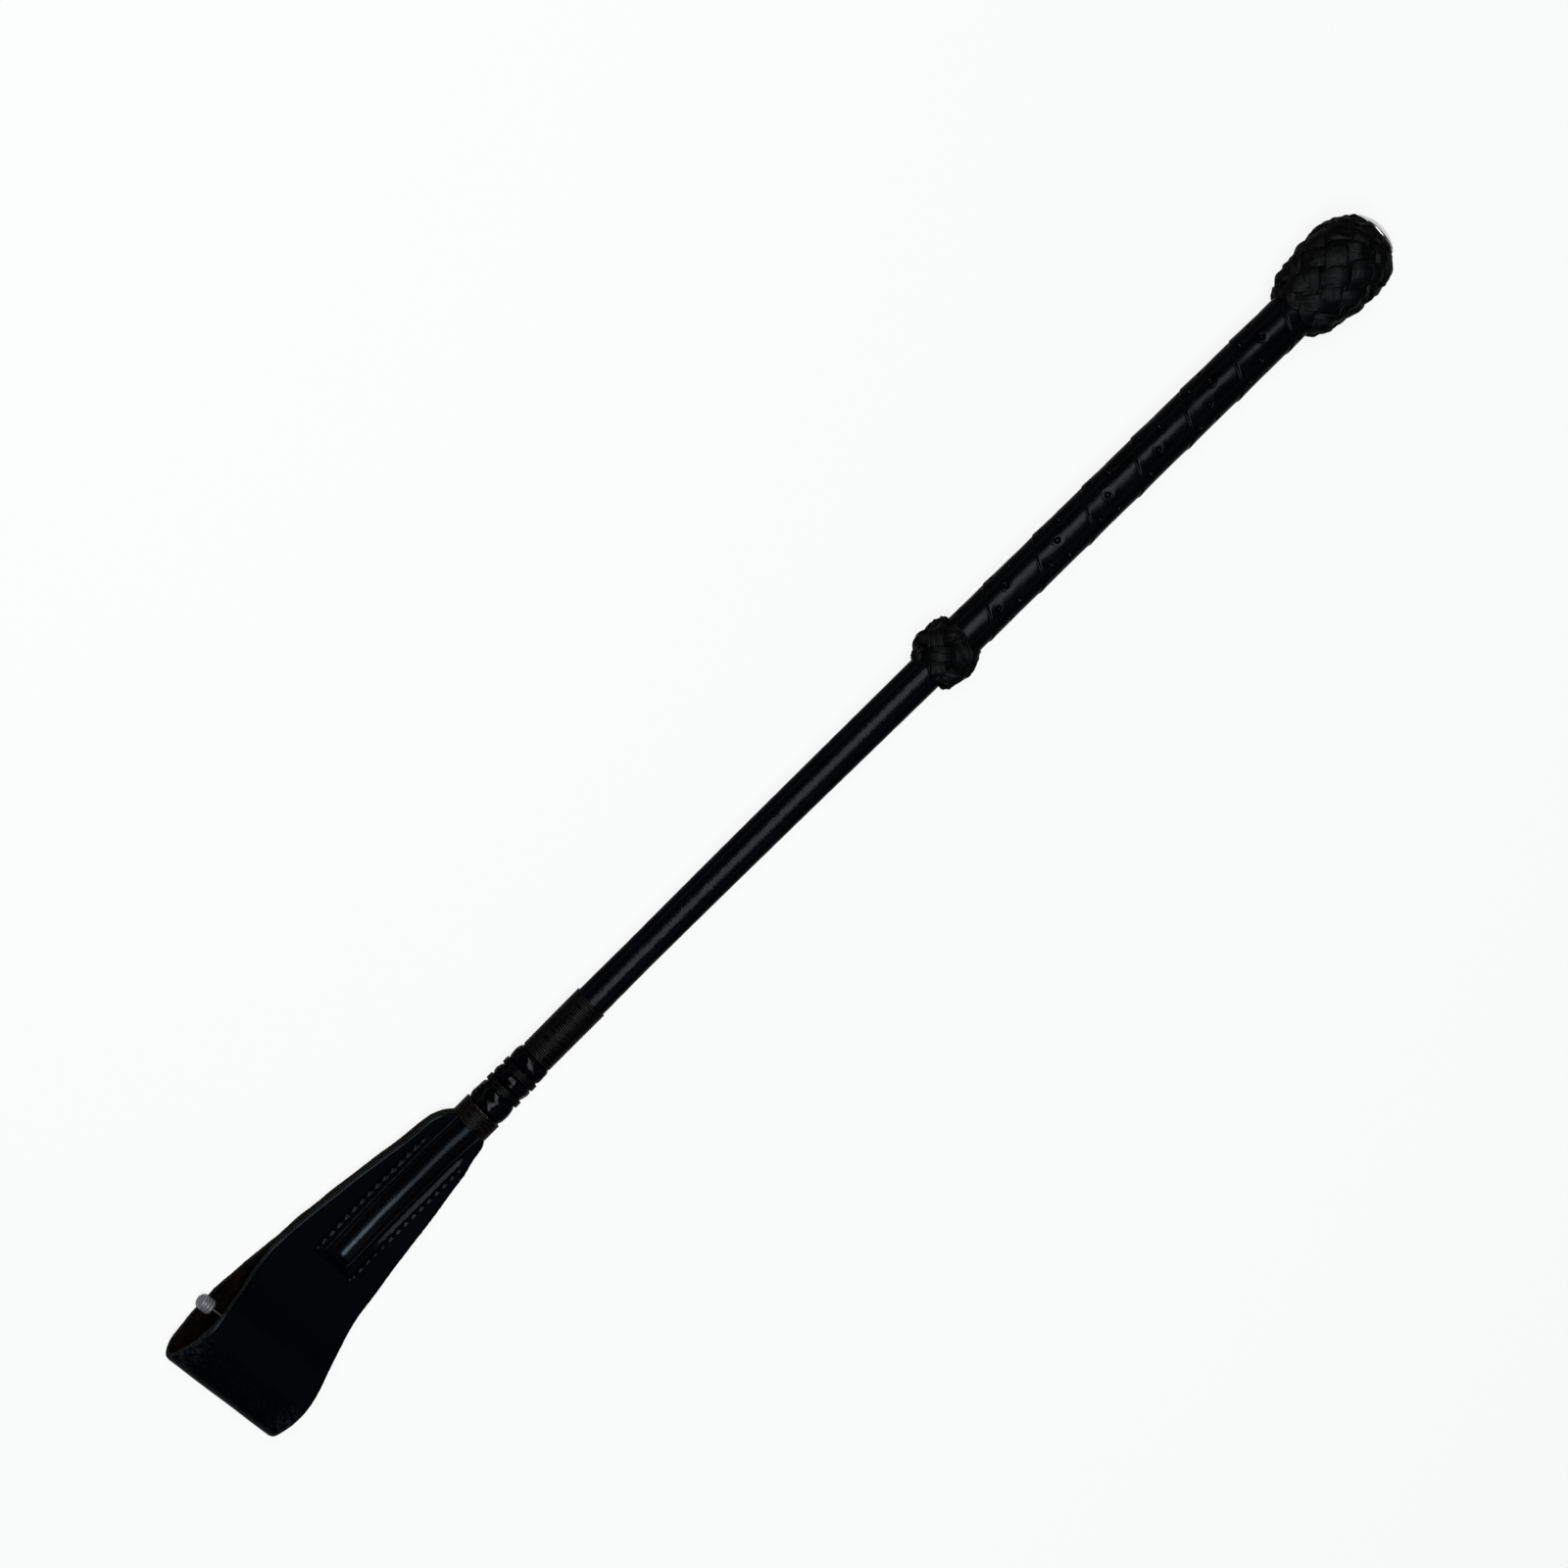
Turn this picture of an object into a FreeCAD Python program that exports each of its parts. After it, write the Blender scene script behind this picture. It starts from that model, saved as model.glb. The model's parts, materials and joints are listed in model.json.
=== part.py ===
import FreeCAD, Part
import math
import os

# Riding crop, lying flat with the front of its flap upwards. All sizes are in millimetres.
# It is modelled along its own axis, +X towards the pommel, with x = 0 at the middle of the bare
# shaft, and is then tipped a little so that the pommel knot and the flap both rest on z = 0.

# Core rod: a tapered fibreglass rod through the whole crop
ROD_TIP_R = 3.7
ROD_NECK_R = 4.3
ROD_GRIP_R = 5.4
GLUE_GAP = 0.05

# Shaft: a leather cover over the rod, sewn along its underside
SHAFT_LENGTH = 171.5
COVER_WALL = 1.65
COVER_FLARE = 0.3
COVER_FLARE_LENGTH = 25.0
COVER_TUCK = 11.0
SEAM_STITCH_PITCH = 7.2
SEAM_STITCH_LENGTH = 4.6
SEAM_THREAD_R = 0.3

# Neck: thread windings above and below a patent leather sleeve with two thread bands
THREAD_D = 0.85
UPPER_WINDING_LENGTH = 29.4
NECK_SLEEVE_LENGTH = 27.0
NECK_SLEEVE_WALL = 0.95
LOWER_WINDING_LENGTH = 8.2
LOWER_WINDING_LAYERS = 2
BAND_TURNS = 4
BAND_SINK = 0.45
BAND_PLACES = (8.2, 16.6)
NECK_STITCH_PITCH = 1.9
NECK_STITCH_LENGTH = 1.2
NECK_THREAD_R = 0.35

# Flap: one leather strip folded at its far end, both ends bound to the neck
LEAF_WALL = 2.4
LEAF_DROP = 0.9
TAIL_SKIVED_WALL = 1.9
TAIL_LENGTH = 34.2
POCKET_LENGTH = 73.8
POCKET_ROD_LENGTH = 64.0
FLAP_NECK_HALF = 8.4
FLAP_SHOULDER_HALF = 12.3
FLAP_SHOULDER_LENGTH = 12.8
FLAP_MID_HALF = 20.6
FLAP_FOLD_HALF = 26.7
FLEX_GAP = 0.4
POCKET_SEAM_HALF = 9.7
POCKET_SEAM_INSET = 2.2
POCKET_SEAM_START = 11.0
POCKET_STITCH_PITCH = 4.0
POCKET_STITCH_LENGTH = 2.9
POCKET_THREAD_R = 0.4

# Flap loop, side view: distance out from the hinge and height above the leaves' joint,
# along the middle of the leather, over the arch of the front leaf and back under it
LOOP_LINE = (
    (0.0, 1.2), (14.5, 6.0), (25.2, 12.0), (34.8, 16.4), (45.2, 16.2), (53.9, 12.7),
    (58.8, 7.9), (57.0, 3.4), (50.6, -0.2), (40.0, -2.9), (28.0, -4.3), (14.0, -3.2), (0.0, -1.2),
)
LOOP_MOUTH = 6.5
LOOP_SAMPLES = 48

# Tag loop: a nylon snap loop round the back leaf, its lock lying inside the flap's loop
TAG_STATION = 40.6
TAG_THREAD_R = 0.3
TAG_LEAF_GAP = 0.55
TAG_SIDE_GAP = 0.5
LOCK_LEAF_GAP = 0.8
LOCK_PROUD = 2.4
LOCK_R = 2.15
LOCK_LENGTH = 3.2
LOCK_FLOOR = 1.0
LOCK_BORE_R = 1.35
LOCK_PIN_R = 1.0
LOCK_BARB_R = 1.25
LOCK_BARB_LENGTH = 1.2

# Middle knot
MIDDLE_KNOT_LENGTH = 21.7
MIDDLE_KNOT_R = 11.7
LACE_WALL = 2.2
KNOT_RIM = 0.9
KNOT_BASE_INSET = 2.0
KNOT_BASE_BEVEL = 3.0
KNOT_BASE_EDGE = 0.4

# Grip: a rubber tube wrapped with a punched leather strip
GRIP_LENGTH = 165.7
GRIP_LOW_R = 8.4
GRIP_TOP_R = 9.15
WRAP_WALL = 1.5
WRAP_PITCH = 25.6
WRAP_SEAM_START = 9.0
HOLE_R = 1.1
HOLE_STEP = 88.0
# Each group of holes: degrees along the strip, and distance across it from its seam
HOLE_PLACES = ((0.0, 4.2), (-33.0, 10.4), (22.0, 13.7))
GRIP_TUCK = 5.8

# Pommel: a woven knot over a turned wooden core, closed by a metal cap held by a nail
POMMEL_LENGTH = 40.6
POMMEL_R = 16.7
POMMEL_END_R = 13.6
# Knot outline: share of its length above the lower rim, and drop below the widest radius
POMMEL_OUTLINE = ((0.145, 3.5), (0.38, 1.1), (0.73, 0.0), (0.92, 1.25))
POMMEL_LACE_WALL = 2.4
CAP_SPHERE_R = 15.5
CAP_WALL = 0.9
CAP_RISE = 7.8
NAIL_R = 1.0
NAIL_LENGTH = 22.0
ROD_TO_CAP = 21.0

V = FreeCAD.Vector
ORIGIN = V(0, 0, 0)
AXIS = V(1, 0, 0)

# Stations along the axis, worked out from the lengths above
shaft_low = -SHAFT_LENGTH / 2
shaft_top = SHAFT_LENGTH / 2
sleeve_top = shaft_low - UPPER_WINDING_LENGTH
sleeve_low = sleeve_top - NECK_SLEEVE_LENGTH
flap_top = sleeve_low - LOWER_WINDING_LENGTH
tail_top = flap_top + TAIL_LENGTH
pocket_end = flap_top - POCKET_LENGTH
rod_tip = flap_top - POCKET_ROD_LENGTH
hinge_x = pocket_end - FLEX_GAP - LEAF_WALL
hinge_z = -LEAF_DROP
grip_low = shaft_top + MIDDLE_KNOT_LENGTH
grip_top = grip_low + GRIP_LENGTH
pommel_top = grip_top + POMMEL_LENGTH
cap_tip = pommel_top + CAP_RISE
rod_top = cap_tip - ROD_TO_CAP
wrap_low = shaft_top + COVER_TUCK
wrap_top = grip_top + GRIP_TUCK
nail_low = cap_tip - CAP_WALL - NAIL_LENGTH
cap_centre = cap_tip - CAP_SPHERE_R
fold_x = hinge_x - max(out for out, _ in LOOP_LINE)


def rod_radius(x):
    """Outer radius of the core rod, which tapers in two straight stretches below the grip."""
    if x >= shaft_top:
        return ROD_GRIP_R
    if x >= sleeve_top:
        share = (x - sleeve_top) / (shaft_top - sleeve_top)
        return ROD_NECK_R + share * (ROD_GRIP_R - ROD_NECK_R)
    share = (x - rod_tip) / (sleeve_top - rod_tip)
    return ROD_TIP_R + share * (ROD_NECK_R - ROD_TIP_R)


def rod_line(low, high, gap):
    """Points that follow the rod at a gap, from low to high, with one at each change of taper."""
    stations = [low] + [x for x in (sleeve_top, shaft_top) if low < x < high] + [high]
    return [(x, rod_radius(x) + gap) for x in stations]


def spline(points):
    """A smooth edge through points given as (x, radius)."""
    curve = Part.BSplineCurve()
    curve.interpolate([V(x, 0, r) for x, r in points])
    return curve.toShape()


def straights(points):
    """Straight edges through points given as (x, radius)."""
    return [Part.makeLine(V(a[0], 0, a[1]), V(b[0], 0, b[1])) for a, b in zip(points, points[1:])]


def turned(edges):
    """A solid turned about the axis from the closed outline that the edges make."""
    return Part.Face(Part.Wire(edges)).revolve(ORIGIN, AXIS, 360)


def turned_lines(points):
    """A solid turned from a closed outline of straight edges."""
    return turned(straights(points + points[:1]))


def sleeve(outer, inner):
    """A turned tube between an outer and an inner line, both given from low to high x."""
    return turned_lines(outer + inner[::-1])


def one_solid(shape):
    """The clean single solid of a boolean result."""
    clean = shape.removeSplitter()
    return clean.Solids[0] if len(clean.Solids) == 1 else clean


# ---- core, shaft and neck -------------------------------------------------------------------

def core_rod():
    outer = rod_line(rod_tip, rod_top, 0.0)
    body = turned_lines(outer + [(rod_top, 0.0), (rod_tip, 0.0)])
    nail_hole = Part.makeCylinder(NAIL_R, NAIL_LENGTH, V(nail_low, 0, 0), AXIS)
    return one_solid(body.cut(nail_hole))


def cover_line(low, high):
    """Outer line of the leather cover without its flare."""
    return rod_line(low, high, GLUE_GAP + COVER_WALL)


def shaft_radius(x):
    """Outer radius of the bare shaft, with the cover's flare at the winding."""
    share = max(0.0, 1.0 - (x - shaft_low) / COVER_FLARE_LENGTH)
    return rod_radius(x) + GLUE_GAP + COVER_WALL + COVER_FLARE * share


def shaft_cover():
    cover_low = tail_top + GLUE_GAP
    flare_top = shaft_low + COVER_FLARE_LENGTH
    outer = cover_line(cover_low, shaft_low)
    outer += [(shaft_low, shaft_radius(shaft_low)), (flare_top, shaft_radius(flare_top))]
    outer += [(shaft_top, shaft_radius(shaft_top)), (wrap_low - GLUE_GAP, shaft_radius(shaft_top))]
    return sleeve(outer, rod_line(cover_low, wrap_low - GLUE_GAP, GLUE_GAP))


def stitch(start, end, radius):
    """One visible stitch: a short thread with rounded ends."""
    run = end - start
    body = Part.makeCylinder(radius, run.Length, start, run)
    for tip in (start, end):
        body = body.fuse(Part.makeSphere(radius, tip))
    return one_solid(body)


def stitches_between(low, high, pitch, length):
    """Start and end stations of as many whole stitches as fit between low and high."""
    count = int((high - low) / pitch)
    first = (low + high - (count - 1) * pitch - length) / 2
    return [(first + i * pitch, first + i * pitch + length) for i in range(count)]


def shaft_seam_thread():
    row = []
    for low, high in stitches_between(shaft_low, shaft_top, SEAM_STITCH_PITCH, SEAM_STITCH_LENGTH):
        drop = SEAM_THREAD_R + GLUE_GAP
        start = V(low, 0, -shaft_radius(low) - drop)
        end = V(high, 0, -shaft_radius(high) - drop)
        row.append(stitch(start, end, SEAM_THREAD_R))
    return Part.makeCompound(row)


def wound_thread(low, turns, inner, pitch, layers=1):
    """Thread wound in close turns: a sleeve whose outside is scalloped turn by turn.

    inner gives the radius that the thread is wound on at a station.
    """
    high = low + turns * pitch
    rise = (layers - 1) * THREAD_D + THREAD_D / 2
    edges = []
    for turn in range(turns):
        x0 = low + turn * pitch
        x1 = x0 + pitch
        base0 = inner(x0) + rise
        base1 = inner(x1) + rise
        crown = V((x0 + x1) / 2, 0, (base0 + base1) / 2 + THREAD_D / 2)
        edges.append(Part.Arc(V(x0, 0, base0), crown, V(x1, 0, base1)).toShape())
    outer_end = (high, inner(high) + rise)
    outer_start = (low, inner(low) + rise)
    edges += straights([outer_end, (high, inner(high)), (low, inner(low)), outer_start])
    return turned(edges)


def upper_winding():
    turns = round(UPPER_WINDING_LENGTH / THREAD_D)

    def seat(x):
        if x >= tail_top:
            return rod_radius(x) + COVER_WALL + 2 * GLUE_GAP
        return max(tail_radius(x), rod_radius(tail_top) + COVER_WALL + GLUE_GAP) + GLUE_GAP

    return wound_thread(sleeve_top, turns, seat, UPPER_WINDING_LENGTH / turns)


def tail_radius(x):
    """Outer radius of the flap's tail, which is skived thinner towards its end."""
    share = max(0.0, min(1.0, (x - sleeve_low) / (tail_top - sleeve_low)))
    wall = LEAF_WALL + share * (TAIL_SKIVED_WALL - LEAF_WALL)
    return rod_radius(x) + GLUE_GAP + wall


def sleeve_radius(x):
    """Outer radius of the neck sleeve away from its bands."""
    return tail_radius(x) + GLUE_GAP + NECK_SLEEVE_WALL


def band_stations():
    """Low and high station of each thread band."""
    width = BAND_TURNS * THREAD_D
    return [(sleeve_top - place - width / 2, sleeve_top - place + width / 2) for place in BAND_PLACES]


def neck_sleeve():
    low = sleeve_low + GLUE_GAP
    high = sleeve_top - GLUE_GAP
    outer = [(low, sleeve_radius(low))]
    for band_low, band_high in reversed(band_stations()):
        for x in (band_low - GLUE_GAP, band_high + GLUE_GAP):
            rim = (x, sleeve_radius(x))
            groove = (x, sleeve_radius(x) - BAND_SINK)
            outer += [rim, groove] if x < band_low else [groove, rim]
    outer.append((high, sleeve_radius(high)))
    return sleeve(outer, [(low, tail_radius(low) + GLUE_GAP), (high, tail_radius(high) + GLUE_GAP)])


def neck_band(index):
    low, high = band_stations()[index]

    def seat(x):
        groove_edge = max(sleeve_radius(low - GLUE_GAP), sleeve_radius(high + GLUE_GAP))
        return groove_edge - BAND_SINK + GLUE_GAP

    return wound_thread(low, BAND_TURNS, seat, THREAD_D)


def neck_sleeve_seam():
    bands = band_stations()
    spans = [(sleeve_low, bands[1][0]), (bands[1][1], bands[0][0]), (bands[0][1], sleeve_top)]
    row = []
    for span_low, span_high in spans:
        margin = NECK_THREAD_R + GLUE_GAP
        places = stitches_between(span_low + margin, span_high - margin, NECK_STITCH_PITCH, NECK_STITCH_LENGTH)
        for low, high in places:
            start = V(low, sleeve_radius(low) + margin, 0)
            end = V(high, sleeve_radius(high) + margin, 0)
            row.append(stitch(start, end, NECK_THREAD_R))
    return Part.makeCompound(row)


def lower_winding():
    turns = round(LOWER_WINDING_LENGTH / THREAD_D)
    return wound_thread(flap_top, turns, lambda x: tail_radius(x) + GLUE_GAP,
                        LOWER_WINDING_LENGTH / turns, LOWER_WINDING_LAYERS)


# ---- flap -----------------------------------------------------------------------------------

def flap_outline(low, high):
    """Face of the flap's outline seen from the front, cut to the stretch from low to high."""
    shoulder_x = flap_top - FLAP_SHOULDER_LENGTH
    mid_x = (shoulder_x + fold_x) / 2
    end_x = fold_x - 2 * LEAF_WALL
    right = [V(flap_top, -FLAP_NECK_HALF, 0), V(shoulder_x, -FLAP_SHOULDER_HALF, 0)]
    edges = [Part.makeLine(*right)]
    fold = V(fold_x, -FLAP_FOLD_HALF, 0)
    edges.append(Part.Arc(right[1], V(mid_x, -FLAP_MID_HALF, 0), fold).toShape())
    edges.append(Part.makeLine(fold, V(end_x, -FLAP_FOLD_HALF, 0)))
    left = [edge.mirror(ORIGIN, V(0, 1, 0)) for edge in edges]
    ends = [Part.makeLine(V(x, -half, 0), V(x, half, 0))
            for x, half in ((flap_top, FLAP_NECK_HALF), (end_x, FLAP_FOLD_HALF))]
    wire = Part.Wire(Part.__sortEdges__(edges + left + ends))
    window = Part.makePlane(high - low, 4 * FLAP_FOLD_HALF, V(low, -2 * FLAP_FOLD_HALF, 0))
    return Part.Face(wire).common(window).Faces[0]


def flap_pocket():
    """Both leaves as they lie stitched round the rod, with the tail that runs up the neck."""
    slab = flap_outline(pocket_end, flap_top)
    slab.translate(V(0, 0, hinge_z - LEAF_WALL))
    leaves = slab.extrude(V(0, 0, 2 * LEAF_WALL))
    over = GLUE_GAP + LEAF_WALL
    bulge_end = rod_tip - over
    tail = [(tail_top, 0.0), (tail_top, tail_radius(tail_top)), (sleeve_low, tail_radius(sleeve_low))]
    tail += [(rod_tip, rod_radius(rod_tip) + over), (bulge_end, rod_radius(rod_tip)), (bulge_end, 0.0)]
    channel = rod_line(rod_tip - GLUE_GAP, tail_top, GLUE_GAP)
    channel += [(tail_top, 0.0), (rod_tip - GLUE_GAP, 0.0)]
    return one_solid(leaves.fuse(turned_lines(tail)).cut(turned_lines(channel)))


def pocket_stitching():
    """The U-shaped seam round the rod, on the front leaf and on the back leaf."""
    seam_end = pocket_end + POCKET_SEAM_INSET
    seam_start = flap_top - POCKET_SEAM_START
    thread = []
    for side in (1, -1):
        z = hinge_z + side * (LEAF_WALL + POCKET_THREAD_R + GLUE_GAP)
        margin = POCKET_STITCH_PITCH / 2
        for low, high in stitches_between(seam_end + margin, seam_start, POCKET_STITCH_PITCH,
                                          POCKET_STITCH_LENGTH):
            for y in (POCKET_SEAM_HALF, -POCKET_SEAM_HALF):
                thread.append(stitch(V(low, y, z), V(high, y, z), POCKET_THREAD_R))
        for low, high in stitches_between(-POCKET_SEAM_HALF, POCKET_SEAM_HALF, POCKET_STITCH_PITCH,
                                          POCKET_STITCH_LENGTH):
            thread.append(stitch(V(seam_end, low, z), V(seam_end, high, z), POCKET_THREAD_R))
    return Part.makeCompound(thread)


def loop_curve():
    """Middle line of the loop's leather, seen from the side."""
    curve = Part.BSplineCurve()
    curve.interpolate([V(hinge_x - out, 0, hinge_z + up) for out, up in LOOP_LINE])
    return curve


def loop_offset(distance):
    """Points at a distance outside (+) or inside (-) the loop's middle line."""
    curve = loop_curve()
    points = []
    for i in range(LOOP_SAMPLES + 1):
        place = curve.FirstParameter + (curve.LastParameter - curve.FirstParameter) * i / LOOP_SAMPLES
        along = curve.tangent(place)[0]
        outwards = V(along.z, 0, -along.x)
        points.append(curve.value(place) + outwards * distance)
    return points


def smooth_edge(points):
    """A smooth edge through space points."""
    curve = Part.BSplineCurve()
    curve.interpolate(points)
    return curve.toShape()


def loop_profile():
    """Side view of the loop's leather: the outer line with a round nose, less the hollow."""
    outer = [p for p in loop_offset(LEAF_WALL / 2) if p.x < hinge_x - LEAF_WALL / 2]
    nose_top = V(hinge_x, 0, hinge_z + LEAF_WALL)
    nose_tip = V(hinge_x + LEAF_WALL, 0, hinge_z)
    nose_low = V(hinge_x, 0, hinge_z - LEAF_WALL)
    skin = smooth_edge([nose_top] + outer + [nose_low])
    body = Part.Face(Part.Wire([skin, Part.Arc(nose_low, nose_tip, nose_top).toShape()]))
    inner = [p for p in loop_offset(-LEAF_WALL / 2) if p.x < hinge_x - LOOP_MOUTH]
    hollow = Part.Face(Part.Wire([smooth_edge(inner), Part.makeLine(inner[-1], inner[0])]))
    return body.cut(hollow).Faces[0]


def flap_loop():
    """The free part of the flap: the leaf folded over into an open loop, flat at its edges."""
    width = 4 * FLAP_FOLD_HALF
    profile = loop_profile()
    profile.translate(V(0, -width / 2, 0))
    band = profile.extrude(V(0, width, 0))
    reach = max(up for _, up in LOOP_LINE) + 2 * LEAF_WALL
    outline = flap_outline(fold_x - 2 * LEAF_WALL, hinge_x + 2 * LEAF_WALL)
    outline.translate(V(0, 0, -reach))
    return one_solid(band.common(outline.extrude(V(0, 0, 2 * reach))))


# ---- tag loop -------------------------------------------------------------------------------

def tag_frame():
    """Middle of the back leaf where the tag loop sits, and the leaf's direction there."""
    curve = loop_curve()
    steps = 10 * LOOP_SAMPLES
    back_half = [curve.LastParameter * (0.5 + 0.5 * i / steps) for i in range(steps)]
    place = min(back_half, key=lambda u: abs(curve.value(u).x - (hinge_x - TAG_STATION)))
    return curve.value(place), curve.tangent(place)[0]


def tag_placement():
    """Placement of the tag loop: its local X along the leaf, local Z square to the leaf."""
    middle, along = tag_frame()
    tilt = math.degrees(math.atan2(along.z, along.x))
    return FreeCAD.Placement(middle, FreeCAD.Rotation(V(0, 1, 0), -tilt))


def tag_heights():
    """Heights above the leaf's middle of the thread's middle line, over the leaf and under it."""
    over = LEAF_WALL / 2 + LOCK_LEAF_GAP + LOCK_R
    under = -LEAF_WALL / 2 - TAG_LEAF_GAP - TAG_THREAD_R
    return over, under


def lock_head():
    """Distance across the leaf from its middle to the outer end of the lock."""
    return FLAP_FOLD_HALF + LOCK_PROUD


def tag_filament():
    """Thread from the lock's floor over the leaf, round its edge, under it and up to the pin."""
    over, under = tag_heights()
    bend_r = (over - under) / 2
    middle = (over + under) / 2
    corner = math.sqrt((bend_r - TAG_THREAD_R) ** 2 - (middle + LEAF_WALL / 2) ** 2)
    far = -(FLAP_FOLD_HALF + TAG_SIDE_GAP - corner)
    near = lock_head() + GLUE_GAP
    start = near - LOCK_R - LOCK_LENGTH - 2 * GLUE_GAP
    first = Part.makeLine(V(0, start, over), V(0, far, over))
    round_far = Part.Arc(V(0, far, over), V(0, far - bend_r, middle), V(0, far, under)).toShape()
    back = Part.makeLine(V(0, far, under), V(0, near, under))
    round_near = Part.Arc(V(0, near, under), V(0, near + bend_r, middle), V(0, near, over)).toShape()
    path = Part.Wire([first, round_far, back, round_near])
    ring = Part.Wire(Part.makeCircle(TAG_THREAD_R, V(0, start, over), V(0, -1, 0)))
    thread = path.makePipeShell([ring], True, True)
    thread.Placement = tag_placement()
    return thread


def tag_lock_socket():
    """Barrel of the snap lock, open at its outer end where the pin enters."""
    over, _ = tag_heights()
    floor = lock_head() - LOCK_R - LOCK_LENGTH
    across = V(0, 1, 0)
    barrel = Part.makeCylinder(LOCK_R, LOCK_LENGTH, V(0, floor, over), across)
    bore = Part.makeCylinder(LOCK_BORE_R, LOCK_LENGTH, V(0, floor + LOCK_FLOOR, over), across)
    socket = barrel.cut(bore)
    socket.Placement = tag_placement()
    return one_solid(socket)


def tag_lock_pin():
    """Barbed pin with a domed head, snapped into the socket."""
    over, _ = tag_heights()
    across = V(0, 1, 0)
    foot = V(0, lock_head() - LOCK_R - LOCK_LENGTH + LOCK_FLOOR + GLUE_GAP, over)
    seat = V(0, lock_head() - LOCK_R + GLUE_GAP, over)
    shank = Part.makeCylinder(LOCK_PIN_R, (seat - foot).Length, foot, across)
    barb = Part.makeCone(LOCK_PIN_R, LOCK_BARB_R, LOCK_BARB_LENGTH, foot, across)
    head = Part.makeSphere(LOCK_R - GLUE_GAP, seat, across, 0, 90, 360)
    pin = shank.fuse([barb, head])
    pin.Placement = tag_placement()
    return one_solid(pin)


# ---- middle knot and grip -------------------------------------------------------------------

def wrap_radius(x):
    """Outer radius of the wrapped grip."""
    share = (x - grip_low) / GRIP_LENGTH
    return GRIP_LOW_R + share * (GRIP_TOP_R - GRIP_LOW_R)


def middle_knot_base():
    """Band under the middle knot that bridges the end of the cover and the end of the wrap."""
    low = shaft_top + KNOT_BASE_INSET
    high = grip_low - KNOT_BASE_INSET
    outer_r = MIDDLE_KNOT_R - LACE_WALL - GLUE_GAP
    inner = [(low, shaft_radius(shaft_top) + GLUE_GAP), (wrap_low, shaft_radius(shaft_top) + GLUE_GAP),
             (wrap_low, wrap_radius(high) + GLUE_GAP), (high, wrap_radius(high) + GLUE_GAP)]
    shoulder = (outer_r + inner[0][1]) / 2
    outer = [(low, shoulder), (low + KNOT_BASE_BEVEL, outer_r), (high - KNOT_BASE_BEVEL, outer_r),
             (high, inner[-1][1] + KNOT_BASE_EDGE)]
    return sleeve(outer, inner)


def middle_knot():
    """Outer body of the woven middle knot."""
    base_low = shaft_top + KNOT_BASE_INSET - GLUE_GAP
    base_high = grip_low - KNOT_BASE_INSET + GLUE_GAP
    seat_low = shaft_radius(shaft_top) + GLUE_GAP
    seat_high = wrap_radius(grip_low) + GLUE_GAP
    bed = MIDDLE_KNOT_R - LACE_WALL
    crown = Part.Arc(V(shaft_top, 0, seat_low + KNOT_RIM),
                     V((shaft_top + grip_low) / 2, 0, MIDDLE_KNOT_R),
                     V(grip_low, 0, seat_high + KNOT_RIM)).toShape()
    inner = [(grip_low, seat_high + KNOT_RIM), (grip_low, seat_high), (base_high, seat_high),
             (base_high, bed), (base_low, bed), (base_low, seat_low), (shaft_top, seat_low),
             (shaft_top, seat_low + KNOT_RIM)]
    return turned([crown] + straights(inner))


def grip_tube():
    outer = [(wrap_low, wrap_radius(wrap_low) - WRAP_WALL - GLUE_GAP),
             (wrap_top, wrap_radius(wrap_top) - WRAP_WALL - GLUE_GAP)]
    return sleeve(outer, rod_line(wrap_low, wrap_top, GLUE_GAP))


def punched_holes():
    """Station and angle from the top of each hole, which follow the wrap's left-handed helix."""
    places = []
    turn_steps = 360 / HOLE_STEP
    first = -int(turn_steps) - 1
    last = int(turn_steps * GRIP_LENGTH / WRAP_PITCH) + 1
    for i in range(first, last):
        for step, across in HOLE_PLACES:
            angle = i * HOLE_STEP + step
            x = grip_low + WRAP_SEAM_START + WRAP_PITCH * angle / 360 + across
            if grip_low + 2 * HOLE_R < x < grip_top - 2 * HOLE_R:
                places.append((x, angle))
    return places


def grip_wrap():
    """The wound leather strip as one sleeve, punched through where its holes are."""
    outer = [(x, wrap_radius(x)) for x in (wrap_low, wrap_top)]
    inner = [(x, wrap_radius(x) - WRAP_WALL) for x in (wrap_low, wrap_top)]
    punches = []
    for x, angle in punched_holes():
        direction = V(0, math.sin(math.radians(angle)), math.cos(math.radians(angle)))
        start = V(x, 0, 0) + direction * (wrap_radius(x) - WRAP_WALL - GLUE_GAP)
        punches.append(Part.makeCylinder(HOLE_R, GRIP_TOP_R, start, direction))
    return one_solid(sleeve(outer, inner).cut(punches))


# ---- pommel ---------------------------------------------------------------------------------

def pommel_line(inset):
    """Outline of the pommel knot from above its rim to its end, set in by a wall."""
    points = [(grip_top + share * POMMEL_LENGTH, POMMEL_R - drop - inset) for share, drop in POMMEL_OUTLINE]
    return points + [(pommel_top, POMMEL_END_R - inset)]


def pommel_knot():
    """Outer body of the woven pommel knot, over the core and the end of the grip."""
    seat = wrap_radius(wrap_top) + GLUE_GAP
    outer = [(grip_top, seat + KNOT_RIM)] + pommel_line(0.0)
    bed = pommel_line(POMMEL_LACE_WALL)
    tuck = [bed[0], (bed[0][0], seat), (grip_top, seat), outer[0]]
    edges = [spline(outer), spline(bed)] + straights([outer[-1], bed[-1]]) + straights(tuck)
    return turned(Part.__sortEdges__(edges))


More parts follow.
